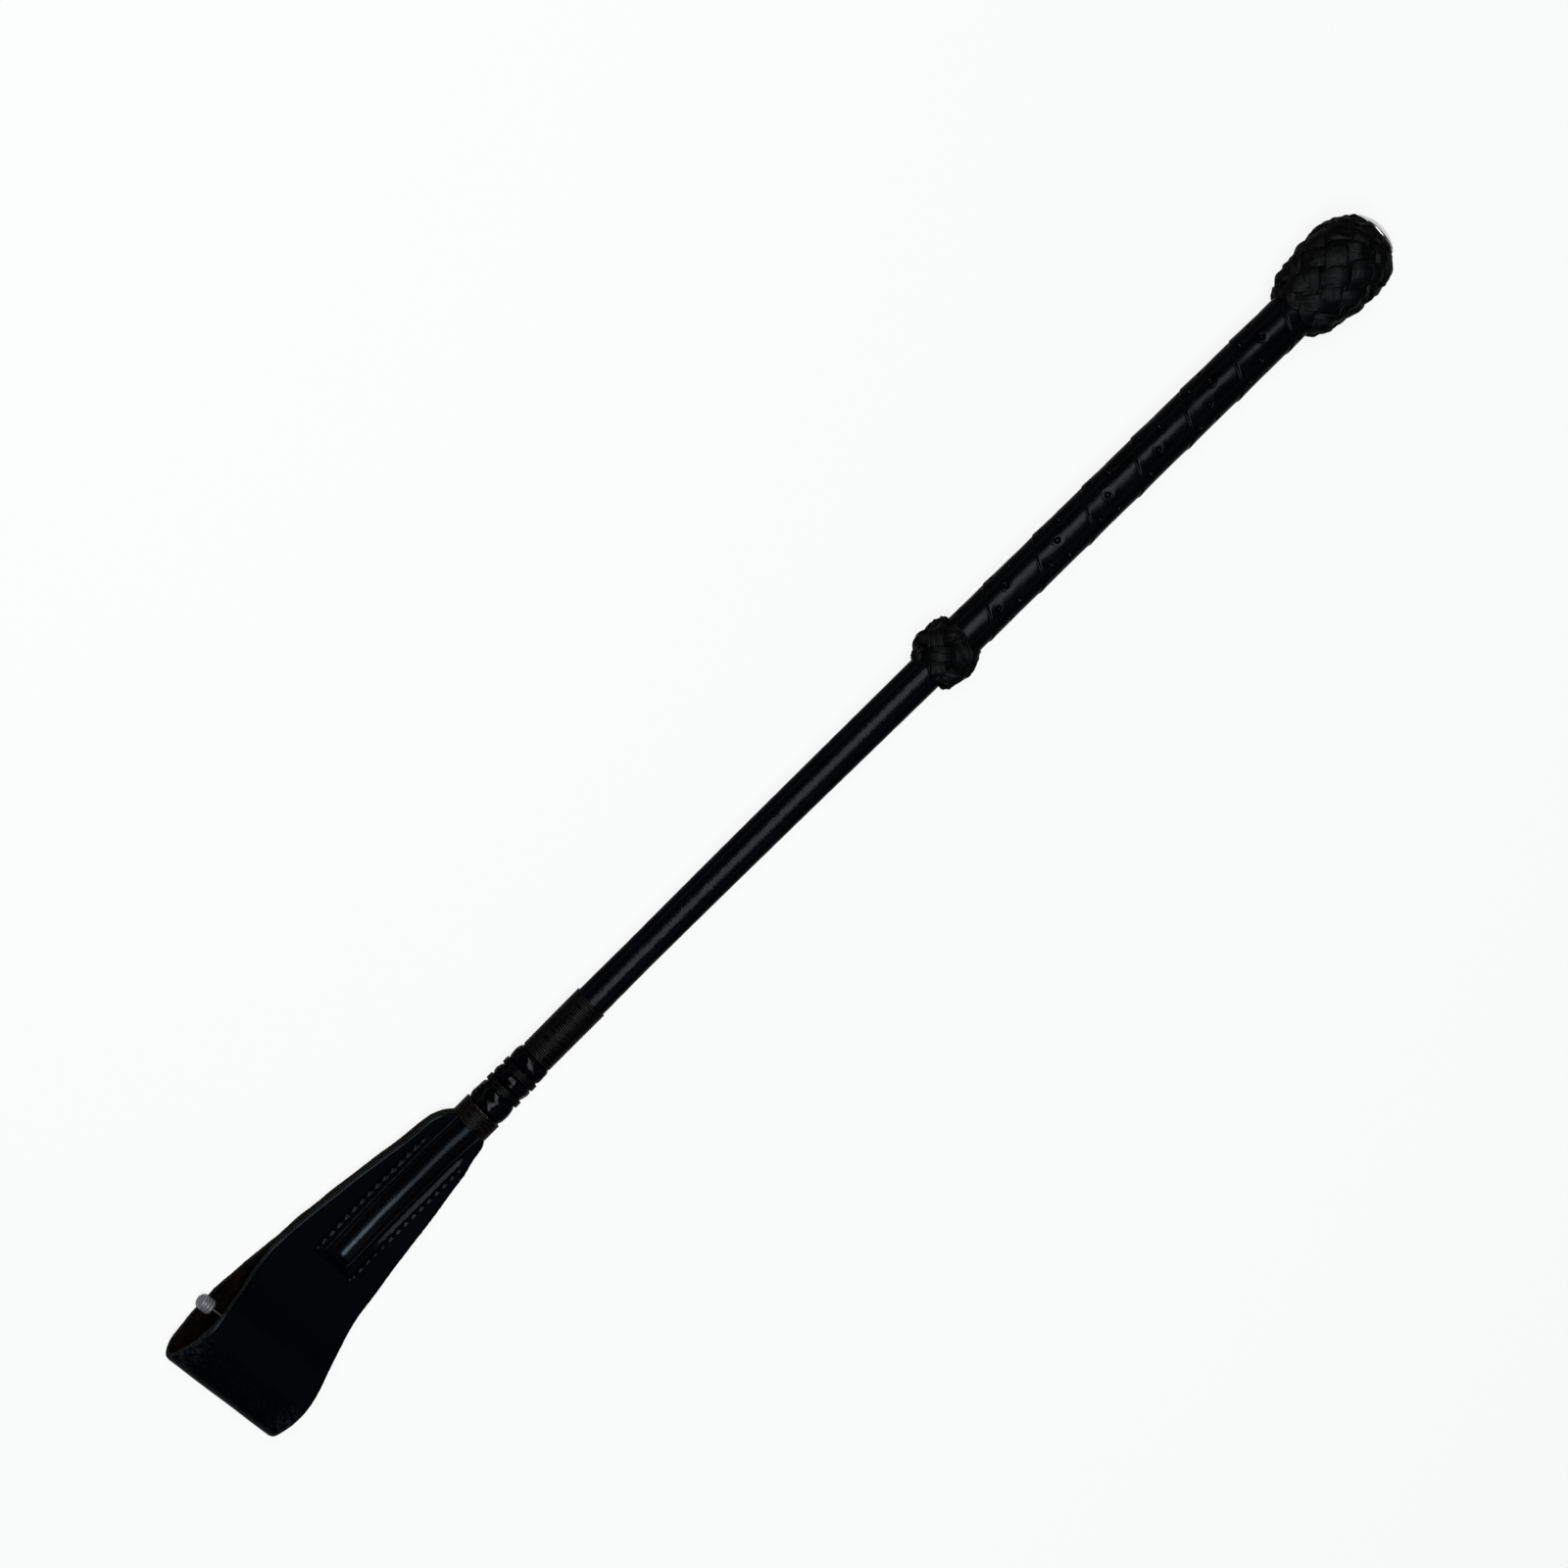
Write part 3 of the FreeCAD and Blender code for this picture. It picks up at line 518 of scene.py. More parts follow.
def raw_edge_finish(name, colour, fuzz):
    """Cut leather edge: fibre layers along the edge, dark dye above and below, pale fuzz."""
    bench = Bench(name)
    layers = bench.noise(bench.stretched(bench.surface(), (0.12, 1.0, 1.0)), 0.45, 4.0, 0.7)
    lint = bench.noise(bench.place, 0.5, 6.0, 0.8)
    colours = bench.shades(layers, 0.3, 0.7, colour, 0.4, 1.5)
    colours = bench.mix(bench.ramp(lint, 0.53, 0.64), colours, fuzz)
    normal = bench.bump(lint, 0.3, bench.bump(layers, 0.3))
    return bench.done(Base_Color=colours, Roughness=bench.ramp(lint, 0.3, 0.7, 0.8, 0.95), Normal=normal,
                      Specular_IOR_Level=bench.turned_away(0.1), Sheen_Weight=0.03)


def metal_finish(name, colour, gloss, along=(1.0, 1.0, 1.0)):
    """Polished or drawn metal with hair scratches and a faint cloudy tarnish."""
    bench = Bench(name)
    hairs = bench.noise(bench.stretched(bench.place, along), 0.4, 6.0, 0.75)
    tarnish = bench.noise(bench.place, 6.0, 3.0)
    colours = bench.shades(tarnish, 0.3, 0.7, colour, 0.8, 1.05)
    return bench.done(Base_Color=colours, Metallic=1.0, Roughness=bench.ramp(hairs, 0.3, 0.7, *gloss),
                      Normal=bench.bump(hairs, 0.006))


def nylon_finish(name, colour):
    """Clear moulded nylon: partly see-through, slightly milky, with faint flow marks."""
    bench = Bench(name)
    flow = bench.noise(bench.place, 1.2, 3.0)
    colours = bench.mix(bench.ramp(flow, 0.3, 0.7), tone(colour, 0.85), colour)
    return bench.done(Base_Color=colours, Roughness=bench.ramp(flow, 0.3, 0.7, 0.25, 0.4),
                      Normal=bench.bump(flow, 0.05), Transmission_Weight=0.55, IOR=1.5)


def rod_finish(name, colour):
    """Pultruded fibreglass: long glass fibres in a yellowish resin."""
    bench = Bench(name)
    fibres = bench.noise(bench.stretched(bench.place, (0.03, 1.0, 1.0)), 0.5, 5.0, 0.7)
    colours = bench.shades(fibres, 0.3, 0.7, colour, 0.7, 1.15)
    return bench.done(Base_Color=colours, Roughness=bench.ramp(fibres, 0.3, 0.7, 0.3, 0.5),
                      Normal=bench.bump(fibres, 0.05))


def wood_finish(name, colour):
    """Turned wood in the given colour: rings about the grain and a dull surface."""
    bench = Bench(name)
    rings = bench.noise(bench.stretched(bench.place, (0.15, 1.0, 1.0)), 1.6, 4.0, 0.6, 0.4)
    colours = bench.shades(rings, 0.3, 0.7, colour, 0.6, 1.3)
    return bench.done(Base_Color=colours, Roughness=bench.ramp(rings, 0.3, 0.7, 0.7, 0.85),
                      Normal=bench.bump(rings, 0.1), Specular_IOR_Level=0.2)


def rubber_finish(name, colour):
    """Dull sponge rubber."""
    bench = Bench(name)
    pores = bench.cells(bench.place, 0.8)
    colours = bench.shades(pores, 0.1, 0.6, colour, 0.6, 1.2)
    return bench.done(Base_Color=colours, Roughness=bench.ramp(pores, 0.1, 0.6, 0.75, 0.9),
                      Normal=bench.bump(pores, 0.1), Specular_IOR_Level=0.2)


def floor_finish(name, colour, bounce, glow):
    """Pale paper sweep that keeps the shadow: its own colour and a white glow for the camera, the
    same white glow over a dimmer bounce in the reflections that it gives the crop, and only the
    dimmer bounce for the light that it throws onto the crop."""
    bench = Bench(name)
    fleck = bench.noise(bench.place, 40.0, 3.0)
    rays = bench.node("LightPath", {})
    seen = bench.maths("MAXIMUM", rays.outputs["Is Camera Ray"], rays.outputs["Is Transmission Ray"])
    paper = bench.mix(bench.ramp(fleck, 0.3, 0.7), tone(colour, 0.995), colour)
    bench.done(Base_Color=bench.mix(seen, tone(colour, bounce), paper), Roughness=0.95,
               Specular_IOR_Level=0.0)
    white = bench.node("Emission", {"Color": (1.0, 1.0, 1.0, 1.0), "Strength": 1.0})
    shown = bench.maths("MAXIMUM", seen, rays.outputs["Is Glossy Ray"])
    share = bench.maths("MULTIPLY", shown, glow)
    blend = bench.node("MixShader", {0: share, 1: bench.shader.outputs[0], 2: white.outputs[0]})
    bench.tree.links.new(blend.outputs[0], bench.tree.nodes["Material Output"].inputs["Surface"])
    return bench.material


# ---- shapes: shaft and neck -----------------------------------------------------------------


COVER_WALL = 1.6
COVER_STITCH = 4.6
COVER_STITCH_PITCH = 7.2
COVER_STITCH_INSET = 3.5
STITCH_R = 0.34


def cover_body(seam_depth):
    """Leather tube of the shaft: the CAD radius, plus slow unevenness, less a seam groove below."""
    low, high = reach("shaft_cover")
    stations = np.concatenate([np.linspace(low, SHAFT_LOW - 2, 12),
                               np.linspace(SHAFT_LOW - 1.5, SHAFT_TOP + 1.5, 356),
                               np.linspace(SHAFT_TOP + 3, high, 5)])[:, None]
    angle = around(108)
    radius = cover_radius(stations) + 0.0 * angle
    points = ring_points(stations, radius, angle)
    shown = smooth_step(SHAFT_LOW - 3, SHAFT_LOW, stations) * smooth_step(SHAFT_TOP + 3, SHAFT_TOP, stations)
    bumps = 0.02 * unevenness(points * (1.0, 0.5, 0.5), 5.0, 11) + 0.01 * unevenness(points, 2.4, 12)
    from_seam = (np.abs(angle - np.pi)) * radius
    groove = seam_depth * np.exp(-(from_seam / 0.5) ** 2)
    outer = ring_points(stations, radius + (bumps - 0.05 - groove) * shown, angle)
    inner = np.stack([stations[::-40, 0], cover_radius(stations[::-40, 0]) - COVER_WALL], -1)
    return turned_wall(outer, inner, angle)


def rod_body():
    """Tapered core rod, closed at both ends: the CAD's outline turned round the crop's line."""
    stations = np.linspace(*reach("core_rod"), 60)
    return turned_shape(np.stack([stations, taper("core_rod", stations)], -1), 32)


def stitch_shape(twist=0.12):
    """One stitch of unit length and radius: a two-ply thread that arches and dips at its ends.
    Its radius is sin-rounded at the ends and swells twice round for the plies."""
    share = np.linspace(0.0, 1.0, 9)[:, None]
    angle = around(8)[None, :]
    swell = np.sqrt(np.sin(np.pi * np.clip(share, 0.02, 0.98))) ** 0.6
    radius = swell * (1.0 + twist * np.cos(2 * angle + 2 * np.pi * share * 2.5))
    arch = 1.1 * np.sin(np.pi * share) ** 0.7 - 1.1
    return np.stack([share + 0.0 * angle, radius * np.cos(angle), radius * np.sin(angle) + arch], -1)


def stitch_rows(starts, ends, ups, radius):
    """Stitches from start to end points, whose tops stand out along their up directions."""
    starts, ends, ups = (np.asarray(v, float) for v in (starts, ends, ups))
    along = ends - starts
    side = np.cross(ups, along)
    side /= np.linalg.norm(side, axis=1, keepdims=True)
    places = list(zip(starts, along, side * radius, ups * radius))
    return repeated(stitch_shape(), places)


def shaft_stitches(radius):
    """A row of stitches along the underside, as many as the CAD node has."""
    low, high = SHAFT_LOW + COVER_STITCH_INSET, SHAFT_TOP - COVER_STITCH_INSET
    count = int((high - low) / COVER_STITCH_PITCH) + 1
    first = np.linspace(low, high - COVER_STITCH, count)
    last = first + COVER_STITCH
    starts = np.stack([first, 0 * first, -cover_radius(first) + 0.1], -1)
    ends = np.stack([last, 0 * last, -cover_radius(last) + 0.1], -1)
    return stitch_rows(starts, ends, np.tile([0.0, 0.0, -1.0], (count, 1)), radius)


def helix_body(node, low, high, turns, thread, seed, tilt=0.0, loose=0.04, sides=7, steps=48, start=2.4):
    """Thread in close turns: x = low + t (high - low), angle = 2 pi t turns, on the node's own
    outer taper less half a thread, with a little seeded looseness and an optional tilt."""
    count = turns * steps
    share = np.arange(count) / (count - 1)
    angle = 2 * np.pi * turns * share + start
    draw = np.random.default_rng(seed)
    wander = np.interp(np.arange(count), np.arange(0, count + steps, steps // 2),
                       draw.normal(0.0, loose, len(np.arange(0, count + steps, steps // 2))))
    stations = low + thread / 2 + share * (high - low - thread) + wander
    radius = taper(node, stations) - thread / 2 + 0.6 * np.roll(wander, steps // 3)
    lean = tilt * radius * np.cos(angle - 0.5)
    path = ring_points(stations + lean, radius, angle)
    up = ring_points(0.0 * stations, 1.0, angle)
    scale = np.minimum(1.0, 0.3 + np.minimum(np.arange(count), np.arange(count)[::-1]) / 4)
    return swept(path, up, round_section(thread * 0.52, sides), scale=scale)


def under_turns(node, thread, layers):
    """Plain inner turns that the shown winding lies on."""
    low, high = reach(node)
    stations = np.linspace(low + 0.3, high - 0.3, 24)
    outer_r = taper(node, stations) - thread * 0.62
    angle = around(48)
    outer = ring_points(stations[:, None], outer_r[:, None], angle[None, :])
    inner = np.stack([stations[::-6], outer_r[::-6] - thread * (layers - 0.35)], -1)
    return turned_wall(outer, inner, angle)


BAND_NODES = ("neck_band_upper", "neck_band_lower")
SLEEVE_WALL = 0.95
SLEEVE_STITCH = 1.4
SLEEVE_STITCH_PITCH = 1.9


def sleeve_body(band_tilt):
    """Patent sleeve: taper of the CAD, pulled in under each band, puffed between them by a
    cosine arch, dented at random, gathered in small pleats by the bands, lapped at +y."""
    low, high = reach("neck_sleeve")
    stations = np.linspace(low, high, 120)[:, None]
    angle = around(132)[None, :]
    base = taper("neck_sleeve", stations, 0.3) + 0.0 * angle
    middles = [sum(reach(node)) / 2 for node in BAND_NODES]
    half = (reach(BAND_NODES[0])[1] - reach(BAND_NODES[0])[0]) / 2
    lean = band_tilt * base * np.cos(angle - 0.5)
    nearest = np.min([np.abs(stations - lean - m) for m in middles], axis=0)
    under_band = 1.0 - smooth_step(half - 0.2, half + 0.9, nearest)
    to_end = np.minimum(stations - low, high - stations)
    puff = 0.35 * smooth_step(half, half + 3.0, nearest) * smooth_step(0.0, 2.2, to_end)
    pleats = 0.09 * np.cos(15 * angle + 2.0 * np.sin(angle)) * np.exp(-np.maximum(nearest - half, 0.0) / 1.3)
    points = ring_points(stations, base, angle)
    dents = 0.16 * unevenness(points, 6.5, 21) + 0.05 * unevenness(points, 2.6, 22)
    lap = (angle - np.pi / 2) * base
    lap_step = 0.3 * smooth_step(-0.15, 0.15, lap) * np.exp(-np.clip(lap, 0, None) / 2.2)
    curl = -0.35 * (1.0 - smooth_step(0.0, 1.0, to_end))
    radius = base + (puff + pleats + dents + lap_step) * (1.0 - under_band) - 0.42 * under_band + curl - 0.1
    outer = ring_points(stations, radius, angle)
    inner = np.stack([stations[::-12, 0], taper("neck_sleeve", stations[::-12, 0], 0.3) - SLEEVE_WALL], -1)
    return turned_wall(outer, inner, angle[0])


def sleeve_stitches(radius):
    """Bead seam along the sleeve's lap: short stitches between the bands, at +y."""
    low, high = reach("neck_sleeve")
    bands = [reach(node) for node in BAND_NODES[::-1]]
    spans = [(low, bands[0][0]), (bands[0][1], bands[1][0]), (bands[1][1], high)]
    starts, ends = [], []
    for span_low, span_high in spans:
        count = int((span_high - span_low - 0.6) / SLEEVE_STITCH_PITCH)
        taken = (count - 1) * SLEEVE_STITCH_PITCH + SLEEVE_STITCH
        first = (span_low + span_high - taken) / 2 + SLEEVE_STITCH_PITCH * np.arange(count)
        reach_out = taper("neck_sleeve", first, 0.3) + 0.3
        starts.append(np.stack([first, reach_out, 0 * first], -1))
        ends.append(np.stack([first + SLEEVE_STITCH, reach_out, 0 * first], -1))
    starts, ends = np.concatenate(starts), np.concatenate(ends)
    return stitch_rows(starts, ends, np.tile([0.0, 1.0, 0.0], (len(starts), 1)), radius)


# ---- shapes: flap ---------------------------------------------------------------------------

# Middle line of the flap's leather seen from the side: distance out from the hinge, height
# above the joint of the two leaves. The stitched part lies before 0.
LOOP_LINE = ((0.0, 1.2), (14.5, 6.0), (25.2, 12.0), (34.8, 16.4), (45.2, 16.2), (53.9, 12.7),
             (58.8, 7.9), (57.0, 3.4), (50.6, -0.2), (40.0, -2.9), (28.0, -4.3), (14.0, -3.2), (0.0, -1.2))
LEAF_WALL = 2.4
# Half width of the flap, by distance from the winding
FLAP_WIDTHS = ((-4.0, 6.3), (-1.5, 7.2), (0.0, 8.7), (12.8, 13.3), (30.0, 15.8), (50.0, 18.9),
               (74.0, 22.4), (96.0, 23.8), (118.0, 26.1), (135.0, 27.2), (150.0, 27.2))
# How far the flap stands aside of the bowed shaft's line, as a share of its full skew
FLAP_ASIDE = ((-6.0, 0.0), (0.0, 0.0), (10.0, -0.4), (28.0, -0.62), (45.0, -0.72), (60.0, -0.42),
              (74.0, -0.1), (88.0, 0.22), (102.0, 0.5), (117.0, 0.95), (135.0, 1.6), (150.0, 1.7))
# Share of LOOP_LINE's length that the loop keeps, and height of the front margin's curl
LOOP_SHARE = 0.968
MARGIN_CURL = 0.85
# Stations between which the shine on the rod's bulge comes in
POLISH_FROM, POLISH_TO = -172.0, -212.0
SEAM_HALF = 9.7
SEAM_INSET = 2.2
SEAM_START = 11.0
SEAM_PITCH = 4.0
SEAM_STITCH = 2.9


def natural_spline(knots, values, at):
    """Cubic spline with no bend at its ends: the bends at the knots solve one linear system."""
    step = np.diff(knots)
    count = len(knots)
    system = np.eye(count)
    right = np.zeros((count, values.shape[1]))
    for k in range(1, count - 1):
        system[k, k - 1:k + 2] = step[k - 1], 2 * (step[k - 1] + step[k]), step[k]
        right[k] = 6 * ((values[k + 1] - values[k]) / step[k] - (values[k] - values[k - 1]) / step[k - 1])
    bend = np.linalg.solve(system, right)
    cell = np.clip(np.searchsorted(knots, at) - 1, 0, count - 2)
    h, a, b = step[cell][:, None], (knots[cell + 1] - at)[:, None], (at - knots[cell])[:, None]
    return (bend[cell] * a ** 3 + bend[cell + 1] * b ** 3) / (6 * h) \
        + (values[cell] / h - bend[cell] * h / 6) * a + (values[cell + 1] / h - bend[cell + 1] * h / 6) * b


def flap_line(fine_mm, coarse_mm):
    """Middle line of the strip from the neck, round the fold and back: points, outward normals,
    and distance along it. Stitched stretches get the finer spacing."""
    neck = HINGE_X - (FLAP_TOP + 3.5)
    flat = np.array([neck, neck * 0.72, neck * 0.45, neck * 0.22, -6.0])
    knots = np.concatenate([np.stack([flat, 0 * flat + 1.2], -1), LOOP_LINE,
                            np.stack([flat[::-1], 0 * flat - 1.2], -1)])
    at = lengths(knots)
    dense = natural_spline(at, knots, np.linspace(0, at[-1], 4000))
    run = lengths(dense)
    pocket = HINGE_X - POCKET_END - neck + 4.0
    total = run[-1]
    fine, coarse = int(pocket / fine_mm), int((total - 2 * pocket) / coarse_mm)
    s = np.concatenate([np.linspace(0, pocket, fine, endpoint=False),
                        np.linspace(pocket, total - pocket, coarse, endpoint=False),
                        np.linspace(total - pocket, total, fine)])
    out = np.stack([np.interp(s, run, dense[:, k]) for k in (0, 1)], -1)
    out[:, 0] *= np.where(out[:, 0] > 0, LOOP_SHARE, 1.0)
    line = np.stack([HINGE_X - out[:, 0], 0 * s, HINGE_Z + out[:, 1]], -1)
    along = np.stack([np.gradient(line[:, k], s) for k in range(3)], -1)
    along /= np.linalg.norm(along, axis=1, keepdims=True)
    normal = np.stack([along[:, 2], 0 * s, -along[:, 0]], -1)
    return line, normal, s


def seam_holes():
    """Places (x, y) of the holes of the U-shaped seam, and its stitches from hole to hole."""
    end = POCKET_END + SEAM_INSET
    start = FLAP_TOP - SEAM_START
    sides = np.arange(end + 2.0, start - SEAM_STITCH, SEAM_PITCH)
    starts = [(x, y) for y in (SEAM_HALF, -SEAM_HALF) for x in sides]
    ends = [(x + SEAM_STITCH, y) for x, y in starts]
    row = np.linspace(-SEAM_HALF + 0.5, SEAM_HALF - 0.5 - SEAM_STITCH, 5)
    starts += [(end, y) for y in row]
    ends += [(end, y + SEAM_STITCH) for y in row]
    return np.array(starts), np.array(ends)


def rod_bulge(x, y, back):
    """Height of the leather over the rod above its flat leaf: the circle of the rod's radius
    plus the wall, rounded into the leaf, that ends in a quarter ellipse past the rod's tip."""
    rod = np.interp(x, [ROD_TIP, SLEEVE_TOP], [3.75, 4.35])
    top = np.where(back, LEAF_WALL - HINGE_Z, LEAF_WALL + HINGE_Z)
    circle = np.sqrt(np.maximum((rod + LEAF_WALL) ** 2 - y ** 2, 0.0)) - top
    height = soft_max(circle, 0.0, 1.3) - soft_max(-3.0, 0.0, 1.3)
    past = np.clip((ROD_TIP - x - 1.0) / 5.0, 0.0, 1.0)
    return height * np.sqrt(1.0 - past ** 2) * smooth_step(9.6, 7.4, np.abs(y))


def leaf_shape(x, y, back):
    """The rod's bulge, the depth of the seam's groove and holes, and painted shade that darkens the holes.
    """
    starts, ends = seam_holes()
    holes = np.concatenate([starts, ends])
    stitched = smooth_step(POCKET_END - 1.0, POCKET_END + 1.5, x)
    bulge = rod_bulge(x, y, back) * stitched
    nearest = np.full(np.shape(x), 9.0)
    for hole_x, hole_y in holes:
        nearest = np.minimum(nearest, np.hypot(x - hole_x, y - hole_y))
    nearest = np.where(stitched > 0.01, nearest, 9.0)
    end = POCKET_END + SEAM_INSET
    top = FLAP_TOP - SEAM_START
    side_run = smooth_step(end - 0.5, end + 0.5, x) * smooth_step(top + 1, top - 2, x)
    groove = np.exp(-((np.abs(y) - SEAM_HALF) / 0.75) ** 2) * side_run
    end_run = smooth_step(SEAM_HALF + 0.6, SEAM_HALF - 0.4, np.abs(y))
    groove = np.maximum(groove, np.exp(-((x - end) / 0.75) ** 2) * end_run)
    dent = (0.1 * groove + 0.5 * np.exp(-(nearest / 0.62) ** 2)) * stitched
    # The third value is painted shade, near black in each seam hole
    return bulge, dent, np.exp(-(nearest / 0.5) ** 2) * stitched


def flap_body(fine_mm, coarse_mm, columns, skew):
    """The whole flap as one closed strip. Across it y = v w(x), v from -1 to 1. Its outer face is
    middle + n (wall/2 + bulge - dents), its inner face middle - n (wall/2 - bulge), and each
    raw edge bulges between them."""
    line, normal, s = flap_line(fine_mm, coarse_mm)
    v = np.linspace(-1.0, 1.0, columns)[None, :]
    x = line[:, :1] + 0.0 * v
    from_neck = FLAP_TOP - x
    widths = np.array(FLAP_WIDTHS)
    half = natural_spline(widths[:, 0], widths[:, 1:], from_neck[:, 0])
    middle_s = s[-1] / 2
    back = np.broadcast_to(s[:, None] > middle_s, x.shape)
    draw = np.stack(np.broadcast_arrays(s[:, None], 40.0 * v, 0.0), -1)
    ragged = 0.1 * unevenness(np.stack([s, 0 * s, 0 * s], -1), 14.0, 31)
    ragged_far = 0.1 * unevenness(np.stack([s, 0 * s + 50, 0 * s], -1), 12.0, 32)
    neck_dip = np.where(s > middle_s, 0.5, 1.5) * np.exp(-((from_neck[:, 0] - 7.0) / 6.0) ** 2)
    half = half - neck_dip[:, None] * smooth_step(0.0, 1.0, -v)
    ragged = ragged[:, None] * (v < 0) + ragged_far[:, None] * (v > 0)
    edge = half + ragged * smooth_step(0.9, 1.0, np.abs(v))
    out = HINGE_X - x
    y = v * edge
    free = smooth_step(0.0, 20.0, out)
    # The third value is painted shade for the seam's holes, passed on as a layer
    bulge, dent, pit = leaf_shape(x, y, back)
    bulge = bulge + np.where(back, 0.0, margin_curl(x, y))
    lift = bulge + free * 0.07 * unevenness(draw, 44.0, 33)
    fine = 0.005 * unevenness(draw, 3.2, 34) + 0.012 * unevenness(draw, 9.0, 35)
    middle = np.stack([x, y, line[:, 2:] + 0.0 * v], -1)
    n = normal[:, None, :]
    rounding = 0.35 * smooth_step(0.955, 1.0, np.abs(v))
    outer = middle + n * (LEAF_WALL / 2 + lift - dent + fine - rounding)[..., None]
    wall_in = LEAF_WALL / 2 - 0.01 - 0.2 * smooth_step(0.955, 1.0, np.abs(v))
    inner = middle - n * (wall_in - lift + 0.05 * free * unevenness(draw, 3.0, 36))[..., None]
    edges = []
    for side in (-1, 0):
        top, low = outer[:, side], inner[:, side]
        across = np.sign(v[0, side]) * np.array([0.0, 1.0, 0.0])
        rows = []
        for share, bow in ((0.2, 0.22), (0.5, 0.32), (0.8, 0.2)):
            rough = 0.07 * unevenness(top + share * 9.0, 1.7, 37 + side)
            rows.append(top + (low - top) * share + across * (bow + rough)[:, None])
        edges.append(np.stack(rows, 1))
    loop = np.concatenate([outer, edges[0], inner[:, ::-1], edges[1][:, ::-1]], 1)
    loop[..., 1] += flap_lean(loop[..., 0], skew)
    body = grid_body(loop, False, True, rows_at=s)
    count = loop.shape[1]
    part = np.zeros(count, int)
    part[columns - 1:columns + 3] = 2
    part[columns + 3:2 * columns + 2] = 1
    part[2 * columns + 2:] = 2
    body["finish"] = np.tile(part, len(s) - 1)
    close_tube(body, len(s), count)
    body["finish"] = np.append(body["finish"], [2, 2])
    wear = flap_wear(s, v, x)
    empty = np.zeros((len(s), 3))
    polish = np.where(back, 0.0, smooth_step(0.4, 1.6, bulge)) * smooth_step(POLISH_FROM, POLISH_TO, x)
    body["layers"] = {"wear": np.concatenate([wear, empty, 0 * wear, empty], 1).ravel(),
                      "polish": np.concatenate([polish, empty, 0 * wear, empty], 1).ravel(),
                      "pit": np.concatenate([pit, empty, 0 * wear, empty], 1).ravel()}
    return outwards(body)


def margin_curl(x, y):
    """Height that the front leaf's margin on the -y side gains where it curls up off the back
    leaf, beside the rod."""
    run = smooth_step(FLAP_TOP - 7.0, FLAP_TOP - 15.0, x)
    run = run * smooth_step(POCKET_END + 8.0, POCKET_END + 26.0, x)
    return MARGIN_CURL * run * smooth_step(-6.8, -9.2, y)


def flap_lean(x, skew):
    """Sideways set of the flap past the shaft's bow: a smooth curve through FLAP_ASIDE."""
    table = np.array(FLAP_ASIDE)
    down = np.clip(FLAP_TOP - np.asarray(x, float), table[0, 0], table[-1, 0])
    return -skew * natural_spline(table[:, 0], table[:, 1:], np.ravel(down))[:, 0].reshape(np.shape(x))


def bow(x):
    """Sideways place of the crop's line: straight down to the upper shaft, then a parabola to
    the neck, then straight on in the parabola's last direction."""
    share = np.maximum(0.0, (BOW_START - x) / (BOW_START - SLEEVE_TOP))
    line = np.where(share < 1.0, share ** 2, 2.0 * share - 1.0)
    return -in_mm(bpy.context.scene.crop_sizes.shaft_bow) * line


def above_floor(points):
    """Points of the crop's frame, with those under the floor laid on it."""
    return points + AXES[:, 2] * np.maximum(0.0, -in_row(points)[..., 2:]) / MM


def flap_wear(s, v, x):
    """Scuffing from 0 to 1: strong at the fold's two corners, light along the fold and edges."""
    fold = s[-1] / 2
    before = fold - s[:, None]
    near = np.exp(-((before - 9.0) / 8.0) ** 2)
    corners = 0.75 * near * smooth_step(0.62, 0.95, np.abs(v))
    band = 0.08 * np.exp(-((before - 12.0) / 6.0) ** 2)
    rim = 0.3 * smooth_step(0.96, 1.0, np.abs(v)) * smooth_step(FLAP_TOP, FLAP_TOP - 20, x)
    crease = 0.12 * np.exp(-(before / 2.5) ** 2)
    return np.clip(corners + band + rim + crease, 0.0, 1.0)


def flap_stitches(radius, skew):
    """Both faces' visible stitches, from hole to hole, sunk in the seam's groove."""
    starts, ends = seam_holes()
    rows = []
    for up, level in ((1.0, HINGE_Z + LEAF_WALL), (-1.0, HINGE_Z - LEAF_WALL)):
        tips = []
        for place in (starts, ends):
            raised = margin_curl(place[:, 0], place[:, 1]) if up > 0 else 0.0
            aside = place[:, 1] + flap_lean(place[:, 0], skew)
            height = level + up * (radius - 0.02) + raised + 0 * aside
            tips.append(np.column_stack([place[:, 0], aside, height]))
        rows.append(stitch_rows(*tips, np.tile([0.0, 0.0, up], (len(starts), 1)), radius))
    return joined(rows)


# ---- shapes: knots and grip -----------------------------------------------------------------


def knot_outline(node, tip_radius=None):
    """Side outline (x, radius) of a knot, carried on over the cap's dome to a tip radius, evenly
    spaced and smoothed over 3 mm."""
    low, high = reach(node)
    stations = np.linspace(low, high, 140)
    outline = np.stack([stations, crown(node, stations)], -1)
    if tip_radius:
        dome_low, dome_high = reach("butt_cap")
        rim = crown("butt_cap", np.array([dome_low]))[0]
        ball = ((dome_high - dome_low) ** 2 + rim ** 2) / (2 * (dome_high - dome_low))
        tilt = np.linspace(math.asin(rim / ball), math.asin(tip_radius / ball), 60)
        dome = np.stack([dome_high - ball + ball * np.cos(tilt), ball * np.sin(tilt)], -1)
        outline = np.concatenate([outline, dome])
    run = lengths(outline)
    even = np.linspace(0.0, run[-1], int(run[-1] / 0.25))
    outline = np.stack([np.interp(even, run, outline[:, k]) for k in (0, 1)], -1)
    flat = np.pad(outline, ((6, 6), (0, 0)), "reflect", reflect_type="odd")
    return np.stack([np.convolve(flat[:, k], np.full(13, 1 / 13), "valid") for k in (0, 1)], -1)


